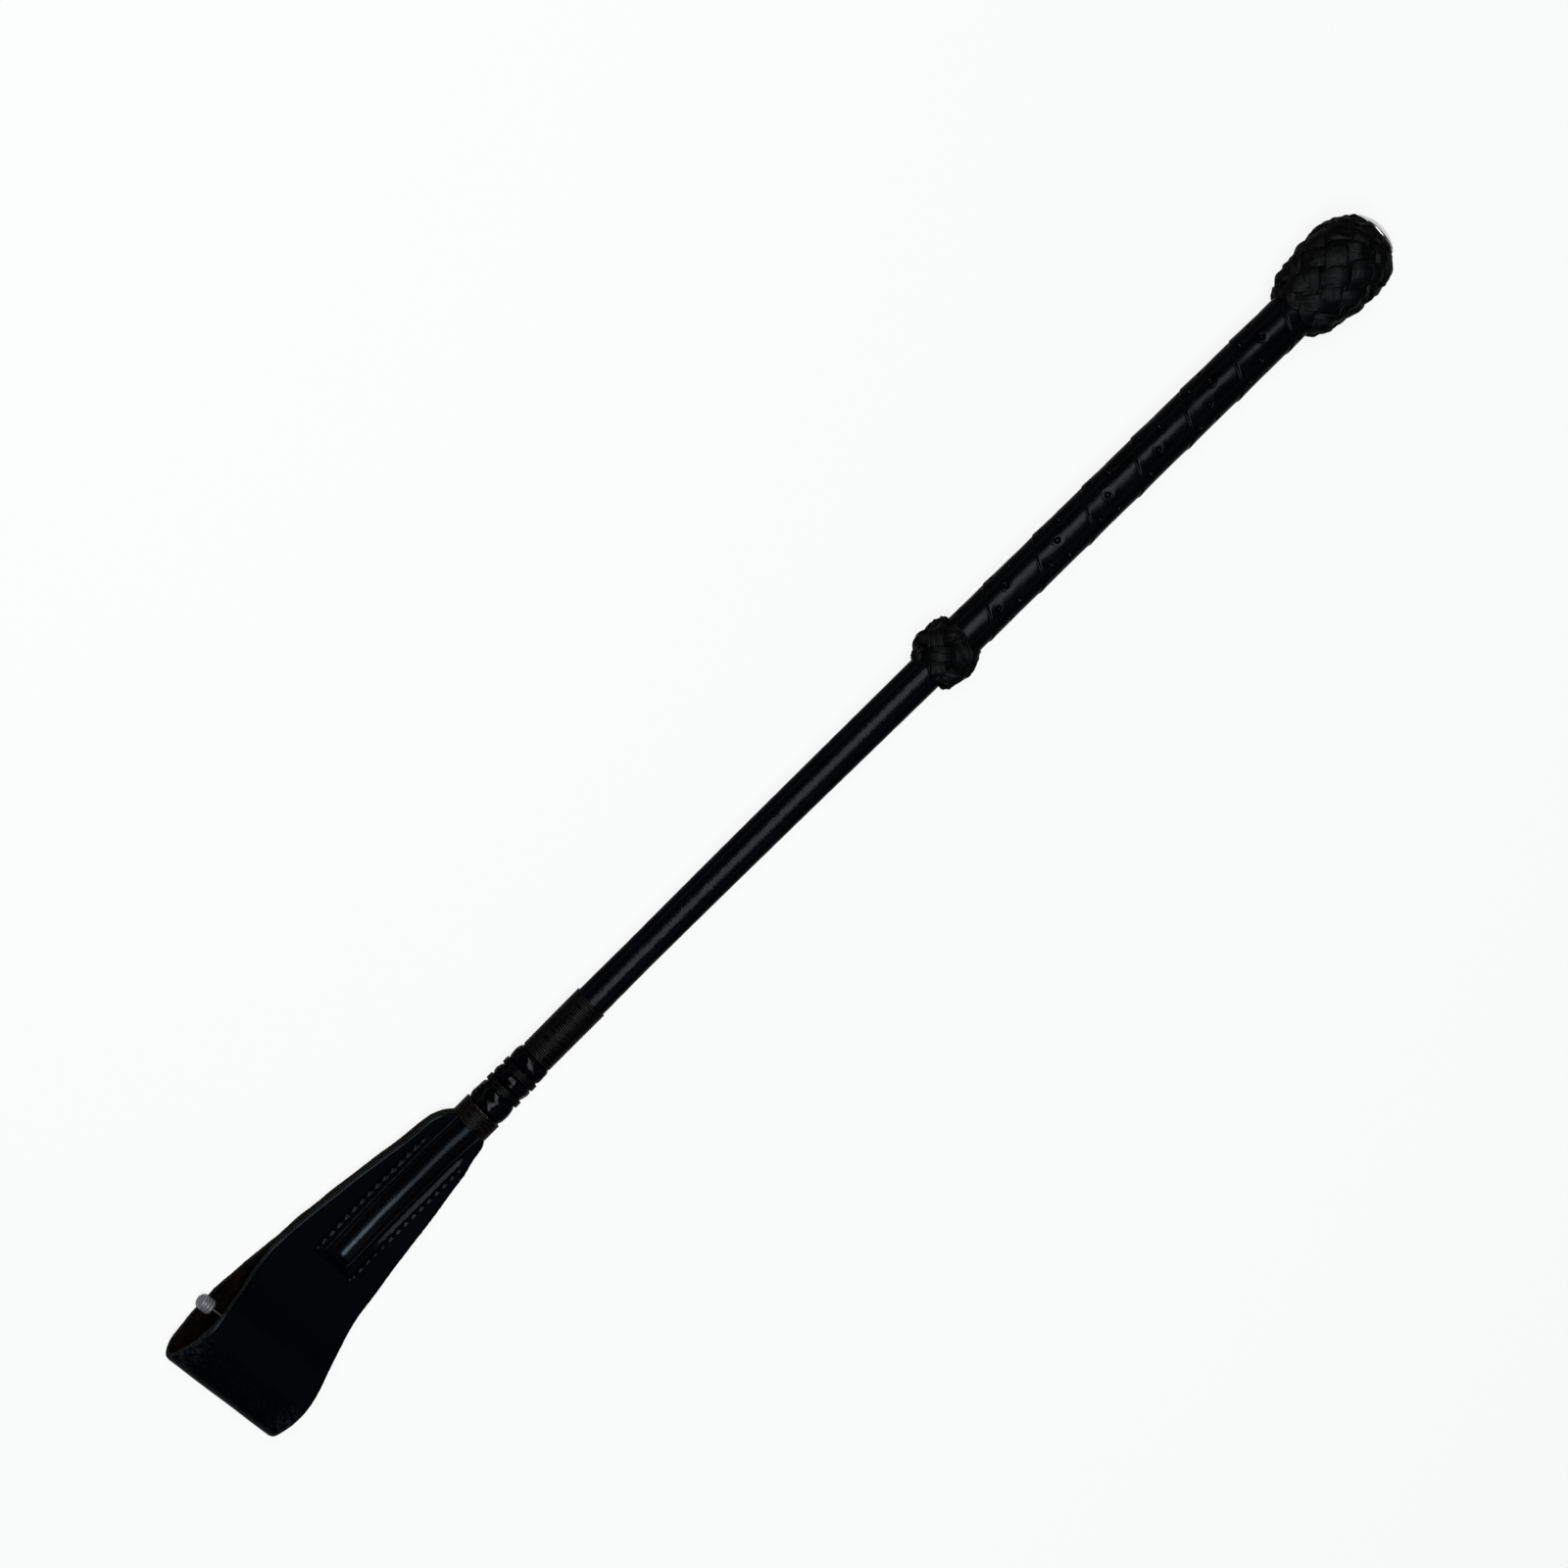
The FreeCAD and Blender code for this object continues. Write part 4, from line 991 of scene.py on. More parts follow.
def woven_knot(outline, leads, bights, width, wall, seed, strands=1, samples=56, sides=26, wobble=0.25):
    """One closed lace woven over and under itself round a turned outline (a turban knot).
    Along the lace the distance from the rim swings as a rounded triangle wave, bights times,
    while the angle makes as many turns as there are leads. The lace rises and falls as
    cos(pi leads share), upwards on one slant and downwards on the other. A point of its section
    is moved across on the outline's own surface, then out along the surface's normal."""
    run = lengths(outline)
    total = run[-1]
    slope = np.stack([np.gradient(outline[:, k], run) for k in (0, 1)], -1)
    slope /= np.linalg.norm(slope, axis=1, keepdims=True)
    count = 2 * bights * samples
    cycle = np.arange(count) / count * bights
    phase = 2 * np.pi * cycle
    sharp = 0.95
    share = 0.5 - np.arcsin(sharp * np.cos(phase)) / (2 * np.arcsin(sharp))
    inset = 0.36 * width
    draw = np.random.default_rng(seed)

    def wander(scale):
        knots = draw.normal(size=6 * bights)
        return scale * np.interp(np.arange(count + 1), np.linspace(0, count, 6 * bights + 1),
                                 np.append(knots, knots[0]))[:-1]

    distance = inset + share * (total - 2 * inset) + wander(wobble) * np.sin(np.pi * share)
    angle = 2 * np.pi * leads / bights * cycle + wander(0.4 * wobble) / outline[:, 1].max()
    r = np.interp(distance, run, outline[:, 1])
    forward = (np.roll(distance, -1) - np.roll(distance, 1)) / 2
    sideways = r * 2 * np.pi * leads / count
    length = np.hypot(forward, sideways)
    window = smooth_step(0.0, 0.35, np.abs(np.sin(phase)))
    swing = np.sign(np.sin(phase)) * np.cos(np.pi * leads * share) * window
    lift = wall * 0.62 * (swing - window) - wall * (0.62 + 0.45 * (1.0 - window))
    narrow = np.clip(r / outline[:, 1].max(), 0.45, 1.0) ** 0.9 * (1 + wander(0.06)) * (0.78 + 0.22 * window)
    section = strap_section(width, wall, sides)
    place = section[:, 0] / (width / 2)
    top = np.clip(section[:, 1] / (wall / 2), 0.0, 1.0)
    strand = np.abs(np.sin(np.pi * strands * (place + 1) / 2)) if strands > 1 else 0.0
    shaped = section[:, 1] + top * wall * (0.3 * (1 - place ** 2) + 0.3 * strand)
    across = section[None, :, 0] * narrow[:, None]
    at = distance[:, None] - across * (sideways / length)[:, None]
    turn = angle[:, None] + across * (forward / length / r)[:, None]
    grain = np.stack([np.cumsum(length)[:, None] * 0.16 + 0 * across, across * 2.2, 0 * across], -1)
    creases = 0.16 * wall * unevenness(grain, 3.0, seed + 1)
    creases = creases + 0.09 * wall * unevenness(grain * 2.3, 3.0, seed + 2)
    height = lift[:, None] + shaped[None, :] + creases * (0.3 + top)[None, :]
    at = np.clip(at, 0.0, total)
    x, radius = np.interp(at, run, outline[:, 0]), np.interp(at, run, outline[:, 1])
    sx, sr = np.interp(at, run, slope[:, 0]), np.interp(at, run, slope[:, 1])
    points = ring_points(x - sr * height, radius + sx * height, turn)
    body = grid_body(points, True, True, rows_at=np.append(0.0, np.cumsum(length)))
    return outwards(body)


WRAP_PITCH = 25.4
WRAP_SEAM_START = 9.0
HOLE_STEP = 88.0
HOLE_PLACES = ((14.0, 4.4), (-45.0, 10.3), (-8.0, 13.8))
HOLE_R = 1.1
WRAP_WALL = 1.5
GRIP_COLUMNS = 158


def grip_body(step, hole_depth):
    """Wound grip leather: the CAD taper plus a lap that rises sharply at the seam's helix and
    dies away across the strip, less the punched holes, as one closed wall. Its layer of
    painted shade is near black in the holes and darker in the seam's groove."""
    low, high = reach("grip_wrap")
    stations = np.concatenate([np.linspace(low, GRIP_LOW - 2, 5),
                               np.linspace(GRIP_LOW - 1.0, GRIP_TOP + 1.0, 486),
                               np.linspace(GRIP_TOP + 2.0, high, 4)])[:, None]
    angle = around(GRIP_COLUMNS)[None, :]
    base = taper("grip_wrap", stations) + 0.0 * angle
    turns = angle / (2 * np.pi)
    across = np.mod(stations - GRIP_LOW - WRAP_SEAM_START - WRAP_PITCH * turns, WRAP_PITCH)
    lap = step * smooth_step(0.0, 0.55, across) * np.exp(-across / 6.0)
    groove = 0.16 * np.exp(-(np.minimum(across, WRAP_PITCH - across) / 0.45) ** 2)
    first = -int(360 / HOLE_STEP) - 1
    last = int(360 / HOLE_STEP * (GRIP_TOP - GRIP_LOW) / WRAP_PITCH) + 1
    nearest = np.full(base.shape, 9.0)
    for i in range(first, last):
        for turn, offset in HOLE_PLACES:
            degrees = i * HOLE_STEP + turn
            x = GRIP_LOW + WRAP_SEAM_START + WRAP_PITCH * degrees / 360 + offset
            if GRIP_LOW + 2 * HOLE_R < x < GRIP_TOP - 2 * HOLE_R:
                apart = np.mod(angle - math.radians(degrees) + np.pi, 2 * np.pi) - np.pi
                nearest = np.minimum(nearest, np.hypot(stations - x, apart * base))
    hole = 1.0 - smooth_step(0.7, 1.25, nearest)
    rim = 0.1 * np.exp(-((nearest - 1.8) / 0.5) ** 2)
    points = ring_points(stations, base, angle)
    waves = 0.035 * unevenness(points, 13.0, 41) + 0.008 * unevenness(points, 3.0, 42)
    radius = base - 0.12 + lap - groove + waves - rim - hole_depth * hole
    outer = ring_points(stations, radius, angle)
    inner = np.stack([stations[::-60, 0], taper("grip_wrap", stations[::-60, 0]) - WRAP_WALL], -1)
    body = turned_wall(outer, inner, angle[0])
    # Painted shade: near black in the punched holes and darker in the groove along the seam, for the
    # leather's colour
    shade = np.maximum(hole, 0.6 * np.exp(-(np.minimum(across, WRAP_PITCH - across) / 0.35) ** 2))
    body["layers"] = {"pit": np.concatenate([shade.ravel(), np.zeros(len(inner) * GRIP_COLUMNS)])}
    return body


CAP_SHOWN_R = 9.2
CAP_WALL = 0.9


def cap_body():
    """Domed cap: the CAD's ball down to just under the laces' rim, a rolled edge that turns in,
    and the same ball less the wall inside, as one closed shell."""
    low, high = reach("butt_cap")
    rim = crown("butt_cap", np.array([low]))[0]
    rise = high - low
    ball = (rise ** 2 + rim ** 2) / (2 * rise)
    tilt = np.linspace(math.asin((CAP_SHOWN_R + 0.4) / ball), 0.004, 40)
    outer = np.stack([high - ball + ball * np.cos(tilt), ball * np.sin(tilt)], -1)
    inside = ball - CAP_WALL
    inner = np.stack([high - ball + inside * np.cos(tilt[::-3]), inside * np.sin(tilt[::-3])], -1)
    edge_x, edge_r = outer[0]
    lip = np.array([[edge_x - 0.95, edge_r - 0.4], [edge_x - 1.1, edge_r - 0.05],
                    [edge_x - 0.9, edge_r + 0.3], [edge_x - 0.4, edge_r + 0.3]])
    return turned_shape(np.concatenate([inner, lip, outer]), 96)


# ---- shapes: tag ----------------------------------------------------------------------------


def turned_across(outline, centre, sides=40):
    """A solid turned about the line through centre along y, from (y, radius) points."""
    outline = np.asarray(outline, float)
    angle = around(sides)[None, :]
    y, r = outline[:, :1] + centre[1] + 0 * angle, outline[:, 1:]
    points = np.stack([centre[0] + r * np.cos(angle), y, centre[2] + r * np.sin(angle)], -1)
    body = grid_body(points, False, True)
    close_tube(body, len(outline), sides)
    return outwards(body)


def node_box(node):
    """Lowest corner, highest corner and middle of a CAD node in the crop's frame."""
    points = node_points(node)
    return points.min(0), points.max(0), (points.min(0) + points.max(0)) / 2


LOCK_SIZE = 1.42
TAG_UP_LEAF = 4.0
LOCK_OUT = 0.7
LOCK_LONGER = 0.9


def tag_place():
    """How far the tag's pieces stand from the CAD's places: up the leaf, and aside with it."""
    middle = node_box("tag_lock_socket")[2]
    along = AXES @ np.array(TAG_JOINT["axis"])
    aside = flap_lean(middle[0], in_mm(bpy.context.scene.crop_sizes.flap_skew))
    return TAG_UP_LEAF * along + aside * ACROSS


def socket_body():
    """Barrel of the tag's lock: an open cup with three moulded ridges."""
    low, high, middle = node_box("tag_lock_socket")
    y0, y1 = low[1] - LOCK_LONGER, high[1]
    share = np.linspace(0.0, 1.0, 31)
    ridged = 2.0 + 0.15 * np.abs(np.sin(3 * np.pi * share))
    outer = np.stack([y0 + 0.15 + share * (y1 - y0 - 0.15), ridged], -1)
    outline = [(y0, 0.05), (y0, 1.5), (y0 + 0.06, 1.85)] + [tuple(p) for p in outer]
    outline += [(y1 - 0.02, 1.75), (y1, 1.5), (y1 - 0.1, 1.36), (y0 + 1.0, 1.36), (y0 + 1.0, 0.05)]
    centre = middle * (1, 0, 1) + tag_place() + LOCK_OUT * ACROSS
    return turned_across(np.array(outline) * (1.0, LOCK_SIZE), centre)


def pin_body():
    """Pin of the tag's lock: a barbed shank under a domed, slightly dimpled head."""
    low, high, middle = node_box("tag_lock_pin")
    y0, y1 = low[1], high[1]
    seat = y1 - 2.1
    tilt = np.linspace(0.0, np.pi / 2 - 0.03, 16)
    head = np.stack([seat + 0.12 + 1.98 * np.sin(tilt), 2.08 * np.cos(tilt)], -1)
    outline = [(y0, 0.05), (y0, 1.0), (y0 + 1.15, 1.24), (y0 + 1.2, 1.0), (seat, 1.0), (seat, 1.95)]
    outline = np.array(outline + [tuple(p) for p in head]) * (1.0, LOCK_SIZE)
    return turned_across(outline, middle * (1, 0, 1) + tag_place() + LOCK_OUT * ACROSS)


def filament_body(radius):
    """Thread of the tag: from the socket's floor over the leaf, round its far edge, back under
    it and up in a tight bend into the pin's head, on one natural spline."""
    low = node_box("tag_filament")[0]
    socket = node_box("tag_lock_socket")
    pin = node_box("tag_lock_pin")
    along = AXES @ np.array(TAG_JOINT["axis"])
    up = np.cross(along, ACROSS)
    start, head = socket[0][1] + 0.6 + LOCK_OUT - LOCK_LONGER, pin[1][1] - 0.4
    far, drop = low[1], LOCK_R + LEAF_WALL + 1.65
    side = [(start, 0.0), (start - 1.5, 0.0), (start - 9.0, -0.25), (0.0, -0.5), (far + 9.0, -0.25),
            (far + 3.2, -0.1), (far + 0.7, -1.4), (far + 0.1, -drop / 2), (far + 0.7, 1.4 - drop),
            (far + 3.2, -drop), (far + 12.0, -drop), (0.0, -drop), (start, -drop), (head - 3.4, -drop),
            (head - 1.8, 0.2 - drop), (head - 1.1, 1.2 - drop), (head - 1.0, -3.4), (head - 0.9, -2.6),
            (head - 0.7, -1.8), (head - 0.5, -1.0)]
    side = np.array(side)
    bend = natural_spline(lengths(side), side, np.linspace(0, lengths(side)[-1], 420))
    shift = tag_place() + socket[2] * (1.0, 0.0, 1.0)
    path = bend[:, :1] * ACROSS + bend[:, 1:] * up + shift
    lifted = (radius + 0.05) * AXES[:, 2]
    path = above_floor(path - lifted) + lifted
    return swept(path, along, round_section(radius, 12))


# ---- settings -------------------------------------------------------------------------------


def size_setting(name, description, default):
    """A length that can be changed, in metres."""
    return bpy.props.FloatProperty(name=name, description=description, default=default, min=0.0,
                                   precision=5, unit="LENGTH")


def colour_setting(name, description, default):
    """A colour that can be changed."""
    return bpy.props.FloatVectorProperty(name=name, description=description, default=default, size=3,
                                         min=0.0, max=1.0, subtype="COLOR")


class CropSizes(bpy.types.PropertyGroup):
    """Sizes of the pieces that the frame doesn't fix."""

    winding_thread: size_setting("Winding thread", "Thickness of the thread wound on the neck", 0.00085)
    seam_thread: size_setting("Seam thread", "Radius of the flap's seam thread", 0.00042)
    cover_seam_depth: size_setting("Cover seam", "Depth of the groove where the cover is sewn", 0.00035)
    pommel_lace: size_setting("Pommel lace", "Width of the pommel knot's lace", 0.0090)
    pommel_lace_wall: size_setting("Pommel lace wall", "Thickness of the pommel knot's lace", 0.0015)
    middle_lace: size_setting("Middle lace", "Width of the middle knot's lace", 0.0086)
    middle_lace_wall: size_setting("Middle lace wall", "Thickness of the middle knot's lace", 0.0016)
    wrap_step: size_setting("Wrap lap", "Height of the grip leather's lap at its seam", 0.0004)
    hole_depth: size_setting("Hole depth", "Depth of the grip's punched holes", 0.0012)
    flap_skew: size_setting("Flap skew", "Sideways lean of the flap, past the shaft's bow", 0.0012)
    shaft_bow: size_setting("Shaft bow", "How far the shaft's lower end stands to one side", 0.00114)
    band_tilt: bpy.props.FloatProperty(name="Band tilt", description="Lean of the two thread bands",
                                       default=0.07, subtype="ANGLE")


class CropColours(bpy.types.PropertyGroup):
    """Colours of the leathers, threads and metals."""

    cover: colour_setting("Shaft cover", "Smooth leather of the shaft", (0.0008, 0.0012, 0.0019))
    grip: colour_setting("Grip", "Punched leather of the grip", (0.0008, 0.0010, 0.0014))
    knot: colour_setting("Knots", "Lace leather of both knots", (0.0015, 0.0016, 0.0018))
    flap: colour_setting("Flap face", "Dressed face of the flap", (0.0006, 0.0009, 0.0013))
    scuff: colour_setting("Scuffs", "Worn places on the flap", (0.022, 0.027, 0.035))
    suede: colour_setting("Flap inside", "Suede inside of the flap", (0.0027, 0.0019, 0.0009))
    raw_edge: colour_setting("Cut edge", "Cut edges of the flap", (0.0042, 0.0038, 0.0024))
    fuzz: colour_setting("Edge fuzz", "Loose fibres on the cut edges", (0.060, 0.058, 0.040))
    patent: colour_setting("Neck sleeve", "Patent leather of the neck", (0.0007, 0.0009, 0.0013))
    upper_thread: colour_setting("Upper winding", "Thread above the neck sleeve", (0.0015, 0.0013, 0.0012))
    lower_thread: colour_setting("Lower winding", "Thread over the flap's neck", (0.0017, 0.0014, 0.0013))
    band_thread: colour_setting("Bands", "Thread of the two neck bands", (0.0014, 0.0012, 0.0011))
    thread_brown: colour_setting("Worn thread", "Where the windings have faded", (0.016, 0.0085, 0.0062))
    seam: colour_setting("Seam thread", "Thread of the seams", (0.0010, 0.0011, 0.0015))
    metal: colour_setting("Cap", "Plated metal of the end cap", (0.72, 0.71, 0.70))
    nylon: colour_setting("Tag", "Clear nylon of the tag loop", (0.30, 0.305, 0.315))
    floor: colour_setting("Floor", "Paper floor", (0.9, 0.9, 0.9))


# ---- operators ------------------------------------------------------------------------------


def in_mm(length):
    return length / MM


def paint_node(node, finish):
    """Gives a CAD node that stays its finish."""
    piece = frame["nodes"][node]
    if not piece.material_slots:
        piece.data.materials.append(finish)
    for place in piece.material_slots:
        place.material = finish


class CROP_OT_shaft(bpy.types.Operator):
    """Makes the shaft's leather cover and the stitches along its underside"""
    bl_idname = "crop.shaft"
    bl_label = "Shaft cover and seam"

    def execute(self, context):
        sizes, colours = context.scene.crop_sizes, context.scene.crop_colours
        leather = smooth_leather("Cover leather", colours.cover, 0.9, 0.018, 0.062, (0.17, 0.27), ribs=True)
        make_piece("cover", cover_body(in_mm(sizes.cover_seam_depth)), [leather], "crop", ["shaft_cover"])
        thread = thread_finish("Cover seam thread", colours.seam, colours.thread_brown)
        stitches = shaft_stitches(STITCH_R)
        make_piece("cover_seam", stitches, [thread], "crop", ["shaft_seam_thread"])
        return {"FINISHED"}


class CROP_OT_windings(bpy.types.Operator):
    """Winds the thread above and below the neck sleeve and the two neck bands"""
    bl_idname = "crop.windings"
    bl_label = "Thread windings and bands"

    def execute(self, context):
        sizes, colours = context.scene.crop_sizes, context.scene.crop_colours
        thread = in_mm(sizes.winding_thread)
        upper = thread_finish("Upper winding thread", colours.upper_thread, colours.thread_brown,
                              0.17, 0.1, 0.012)
        lower = thread_finish("Lower winding thread", colours.lower_thread, colours.thread_brown,
                              0.14, 0.25, 0.015)
        pale = thread_finish("Band thread", colours.band_thread, tone(colours.band_thread, 3.0), 0.1, 0.3)
        for node, finish, layers, seed in (("upper_winding", upper, 1, 51), ("lower_winding", lower, 2, 52)):
            low, high = reach(node)
            turns = round((high - low) / thread)
            wound = helix_body(node, low, high, turns, thread, seed)
            body = joined([wound, under_turns(node, thread, layers)])
            make_piece(node + "_thread", body, [finish], "crop", [node])
        for index, node in enumerate(BAND_NODES):
            low, high = reach(node)
            body = helix_body(node, low, high, 4, thread, 53 + index, sizes.band_tilt, 0.02, start=4.0)
            make_piece(node + "_thread", body, [pale], "crop", [node])
        return {"FINISHED"}


class CROP_OT_sleeve(bpy.types.Operator):
    """Makes the patent leather sleeve of the neck and its bead seam"""
    bl_idname = "crop.sleeve"
    bl_label = "Neck sleeve"

    def execute(self, context):
        sizes, colours = context.scene.crop_sizes, context.scene.crop_colours
        patent = patent_finish("Patent leather", colours.patent)
        sleeve = sleeve_body(sizes.band_tilt)
        make_piece("sleeve", sleeve, [patent], "crop", ["neck_sleeve"])
        thread = thread_finish("Sleeve seam thread", colours.seam, colours.thread_brown)
        stitches = sleeve_stitches(STITCH_R)
        make_piece("sleeve_seam", stitches, [thread], "crop", ["neck_sleeve_seam"])
        return {"FINISHED"}


class CROP_OT_flap(bpy.types.Operator):
    """Makes the folded flap from one strip of leather, and its U-shaped seam"""
    bl_idname = "crop.flap"
    bl_label = "Flap"

    def execute(self, context):
        sizes, colours = context.scene.crop_sizes, context.scene.crop_colours
        face = flap_face("Flap leather", colours.flap, colours.scuff)
        suede = suede_finish("Flap suede", colours.suede)
        edge = raw_edge_finish("Cut edge", colours.raw_edge, colours.fuzz)
        start, end = (in_row([x, 0.0, HINGE_Z]) for x in (HINGE_X + 3.0, HINGE_X - 10.0))
        make_piece("flap_strip", flap_body(0.52, 1.0, 94, in_mm(sizes.flap_skew)), [face, suede, edge],
                   ("crop", "flap", start, end), ["flap_pocket", "flap_loop"])
        thread = thread_finish("Flap seam thread", tone(colours.seam, 0.5), colours.seam, 0.012, 0.2)
        stitches = flap_stitches(in_mm(sizes.seam_thread), in_mm(sizes.flap_skew))
        make_piece("flap_seam", stitches, [thread], "crop", ["pocket_stitching"])
        return {"FINISHED"}


class CROP_OT_tag(bpy.types.Operator):
    """Makes the tag's lock and its nylon loop"""
    bl_idname = "crop.tag"
    bl_label = "Tag loop"

    def execute(self, context):
        nylon = nylon_finish("Clear nylon", context.scene.crop_colours.nylon)
        make_piece("tag_socket", socket_body(), [nylon], "tag", ["tag_lock_socket"])
        make_piece("tag_pin", pin_body(), [nylon], "tag", ["tag_lock_pin"])
        make_piece("tag_thread", filament_body(0.32), [nylon], "tag", ["tag_filament"])
        return {"FINISHED"}


class CROP_OT_knots(bpy.types.Operator):
    """Weaves the laces of the pommel knot and the middle knot"""
    bl_idname = "crop.knots"
    bl_label = "Woven knots"

    def execute(self, context):
        sizes, colours = context.scene.crop_sizes, context.scene.crop_colours
        leather = knot_leather("Lace leather", colours.knot)
        pommel = woven_knot(knot_outline("pommel_knot", CAP_SHOWN_R), 7, 8, in_mm(sizes.pommel_lace),
                            in_mm(sizes.pommel_lace_wall), 61, wobble=0.7)
        make_piece("pommel_laces", pommel, [leather], "crop", ["pommel_knot"])
        middle = woven_knot(knot_outline("middle_knot"), 3, 5, in_mm(sizes.middle_lace),
                            in_mm(sizes.middle_lace_wall), 62, strands=5, samples=90, sides=72, wobble=0.5)
        make_piece("middle_laces", middle, [leather], "crop", ["middle_knot"])
        return {"FINISHED"}


class CROP_OT_grip(bpy.types.Operator):
    """Makes the punched leather wound on the grip"""
    bl_idname = "crop.grip"
    bl_label = "Grip leather"

    def execute(self, context):
        sizes, colours = context.scene.crop_sizes, context.scene.crop_colours
        # The grip leather takes painted shade in its holes and seam groove from the mesh's layer
        leather = smooth_leather("Grip leather", colours.grip, 0.6, 0.01, 0.07, (0.19, 0.3), with_painted_shade=True)
        body = grip_body(in_mm(sizes.wrap_step), in_mm(sizes.hole_depth))
        make_piece("grip_leather", body, [leather], "crop", ["grip_wrap"])
        return {"FINISHED"}


class CROP_OT_cap(bpy.types.Operator):
    """Makes the domed metal cap"""
    bl_idname = "crop.cap"
    bl_label = "End cap"

    def execute(self, context):
        metal = metal_finish("Cap metal", context.scene.crop_colours.metal, (0.1, 0.2))
        make_piece("cap", cap_body(), [metal], "crop", ["butt_cap"])
        return {"FINISHED"}


class CROP_OT_inside(bpy.types.Operator):
    """Finishes the pieces held inside: rod, grip tube, knot band, pommel core and nail"""
    bl_idname = "crop.inside"
    bl_label = "Inner pieces"

    def execute(self, context):
        colours = context.scene.crop_colours
        fibreglass = rod_finish("Fibreglass", (0.6, 0.56, 0.42))
        make_piece("rod", rod_body(), [fibreglass], "crop", ["core_rod"])
        paint_node("grip_tube", rubber_finish("Grip rubber", (0.012, 0.012, 0.012)))
        paint_node("middle_knot_base", suede_finish("Knot band leather", tone(colours.knot, 0.5)))
        # The pommel core's near-black wood is painted shade for the gaps between the laces
        paint_node("pommel_core", wood_finish("Pommel core wood, painted shade", (0.004, 0.0035, 0.003)))
        paint_node("cap_nail", metal_finish("Nail steel", (0.5, 0.5, 0.5), (0.35, 0.55), (0.1, 1.0, 1.0)))
        return {"FINISHED"}


# The camera looks down at the crop from the +y side, turned so that the crop lies on a slant
CAMERA_BACK = (0.0, 0.469, 0.883)
CAMERA_ROLL = 44.36
CAMERA_TARGET = (20.9, 6.3, -3.3)
CAMERA_DISTANCE = 1100.0
CAMERA_SPAN = 577.6
# Share of its colour that the floor has for other light, and how white it shows to the camera
FLOOR_BOUNCE = 0.12
FLOOR_GLOW = 0.86


def camera_axes():
    """Right, up and back of the camera in the crop's frame."""
    back = np.array(CAMERA_BACK) / np.linalg.norm(CAMERA_BACK)
    side = np.cross([1.0, 0.0, 0.0], back)
    side = -side / np.linalg.norm(side)
    roll = math.radians(CAMERA_ROLL)
    right = np.array([1.0, 0.0, 0.0]) * math.cos(roll) - side * math.sin(roll)
    return right, np.cross(back, right), back


def aimed(name, data, place, axes):
    """An object at a place of the crop's frame, turned to right, up and back axes."""
    made = bpy.data.objects.new(name, data)
    bpy.context.scene.collection.objects.link(made)
    turned = np.array(axes) @ AXES
    matrix = np.eye(4)
    matrix[:3, :3] = turned.T
    matrix[:3, 3] = in_row(place)
    made.matrix_world = Matrix(matrix)
    return made


def soft_box(name, toward, distance, width, height, power, colour=(1.0, 1.0, 1.0), slant=0.0):
    """A rectangular soft light that shines on the crop's middle from a direction, with its long
    side turned from the crop's line by a slant in degrees."""
    light = bpy.data.lights.new(name, "AREA")
    light.shape, light.size, light.size_y = "RECTANGLE", width, height
    light.energy, light.color = power, colour
    back = np.array(toward, float) / np.linalg.norm(toward)
    right = np.cross([0.0, 1.0, 0.0], back)
    right /= np.linalg.norm(right)
    up = np.cross(back, right)
    turn = math.radians(slant)
    long_side = math.cos(turn) * right + math.sin(turn) * up
    short_side = math.cos(turn) * up - math.sin(turn) * right
    return aimed(name, light, np.array(CAMERA_TARGET) + back * distance, (long_side, short_side, back))


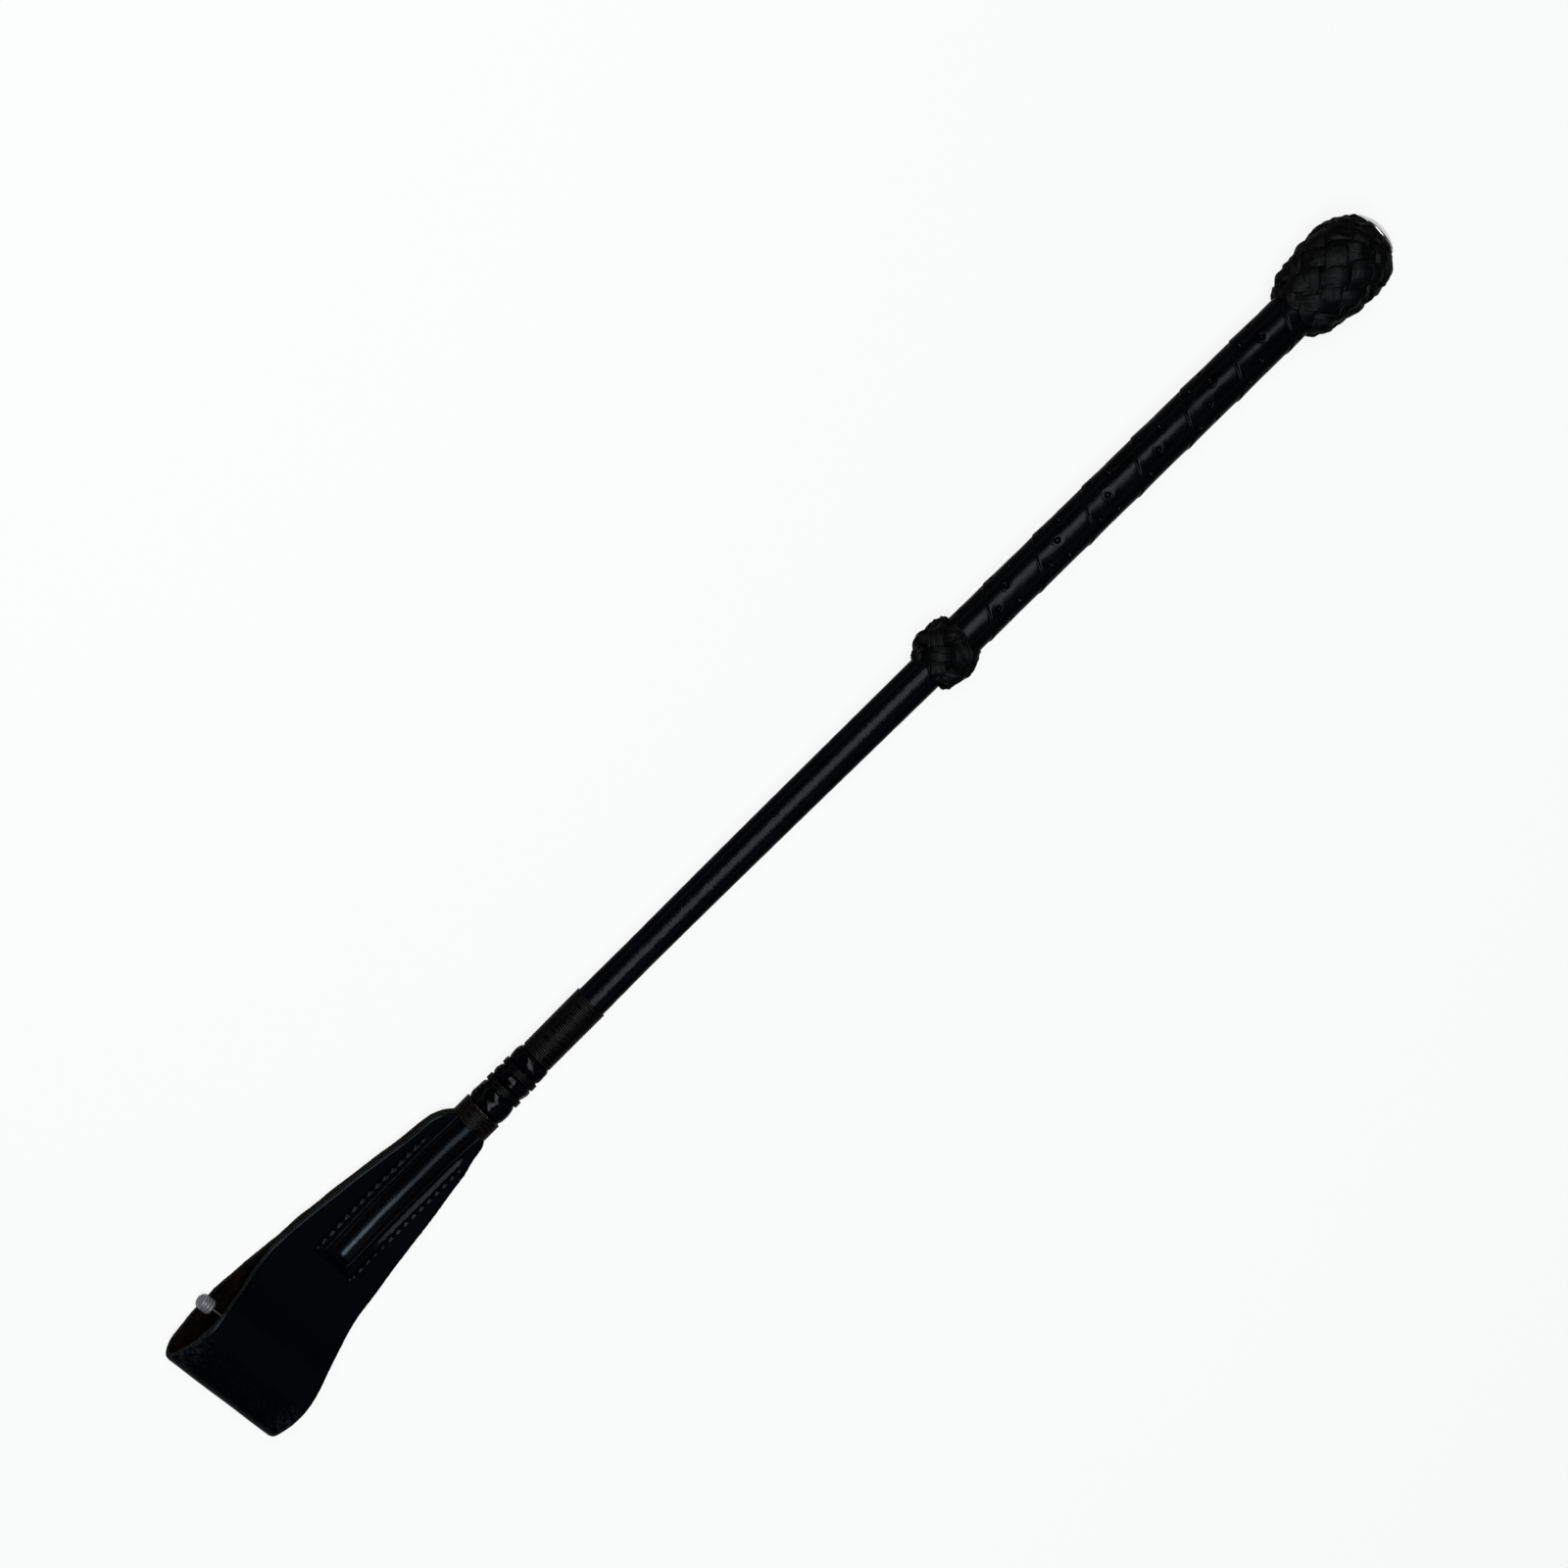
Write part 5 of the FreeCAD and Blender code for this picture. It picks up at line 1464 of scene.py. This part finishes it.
class CROP_OT_stage(bpy.types.Operator):
    """Lays the pale floor and sets the soft lights and the camera"""
    bl_idname = "crop.stage"
    bl_label = "Floor, lights and camera"

    def execute(self, context):
        mesh = bpy.data.meshes.new("floor")
        half = 4.0
        corners = [(-half, -half, 0), (half, -half, 0), (half, half, 0), (-half, half, 0)]
        mesh.from_pydata(corners, [], [(0, 1, 2, 3)])
        colour = context.scene.crop_colours.floor
        mesh.materials.append(floor_finish("Paper floor", colour, FLOOR_BOUNCE, FLOOR_GLOW))
        floor = bpy.data.objects.new("floor", mesh)
        context.scene.collection.objects.link(floor)
        soft_box("key", (-0.02, 0.37, 0.92), 1500.0, 1.6, 0.66, 24.0, (0.95, 0.975, 1.0), 48.0)
        soft_box("fill", (0.0, -0.76, 0.65), 1600.0, 2.0, 1.5, 3.4, (0.72, 0.87, 1.0))
        world = bpy.data.worlds.new("Studio")
        world.use_nodes = True
        world.node_tree.nodes["Background"].inputs["Color"].default_value = (0.012, 0.013, 0.015, 1.0)
        context.scene.world = world
        lens = bpy.data.cameras.new("camera")
        lens.sensor_width = 36.0
        lens.lens = 36.0 * CAMERA_DISTANCE / CAMERA_SPAN
        lens.clip_start, lens.clip_end = 0.05, 20.0
        axes = camera_axes()
        place = np.array(CAMERA_TARGET) + axes[2] * CAMERA_DISTANCE
        context.scene.camera = aimed("camera", lens, place, axes)
        context.scene.view_settings.view_transform = "Standard"
        return {"FINISHED"}


class CROP_PT_panel(bpy.types.Panel):
    """Lists the crop's sizes, colours and pieces"""
    bl_label = "Riding crop"
    bl_idname = "CROP_PT_panel"
    bl_space_type = "VIEW_3D"
    bl_region_type = "UI"
    bl_category = "Riding crop"

    def draw(self, context):
        for operator in OPERATORS:
            self.layout.operator(operator.bl_idname)
        for settings in (context.scene.crop_sizes, context.scene.crop_colours):
            for name in settings.__annotations__:
                self.layout.prop(settings, name)


OPERATORS = (CROP_OT_shaft, CROP_OT_windings, CROP_OT_sleeve, CROP_OT_flap, CROP_OT_tag, CROP_OT_knots,
             CROP_OT_grip, CROP_OT_cap, CROP_OT_inside, CROP_OT_stage)
CLASSES = (CropSizes, CropColours) + OPERATORS + (CROP_PT_panel,)


def register():
    for cls in CLASSES:
        bpy.utils.register_class(cls)
    bpy.types.Scene.crop_sizes = bpy.props.PointerProperty(type=CropSizes)
    bpy.types.Scene.crop_colours = bpy.props.PointerProperty(type=CropColours)


def unregister():
    del bpy.types.Scene.crop_colours
    del bpy.types.Scene.crop_sizes
    for cls in reversed(CLASSES):
        bpy.utils.unregister_class(cls)


def main():
    """Makes every piece."""
    register()
    for operator in OPERATORS:
        group, name = operator.bl_idname.split(".")
        getattr(getattr(bpy.ops, group), name)()


if __name__ == "__main__":
    main()
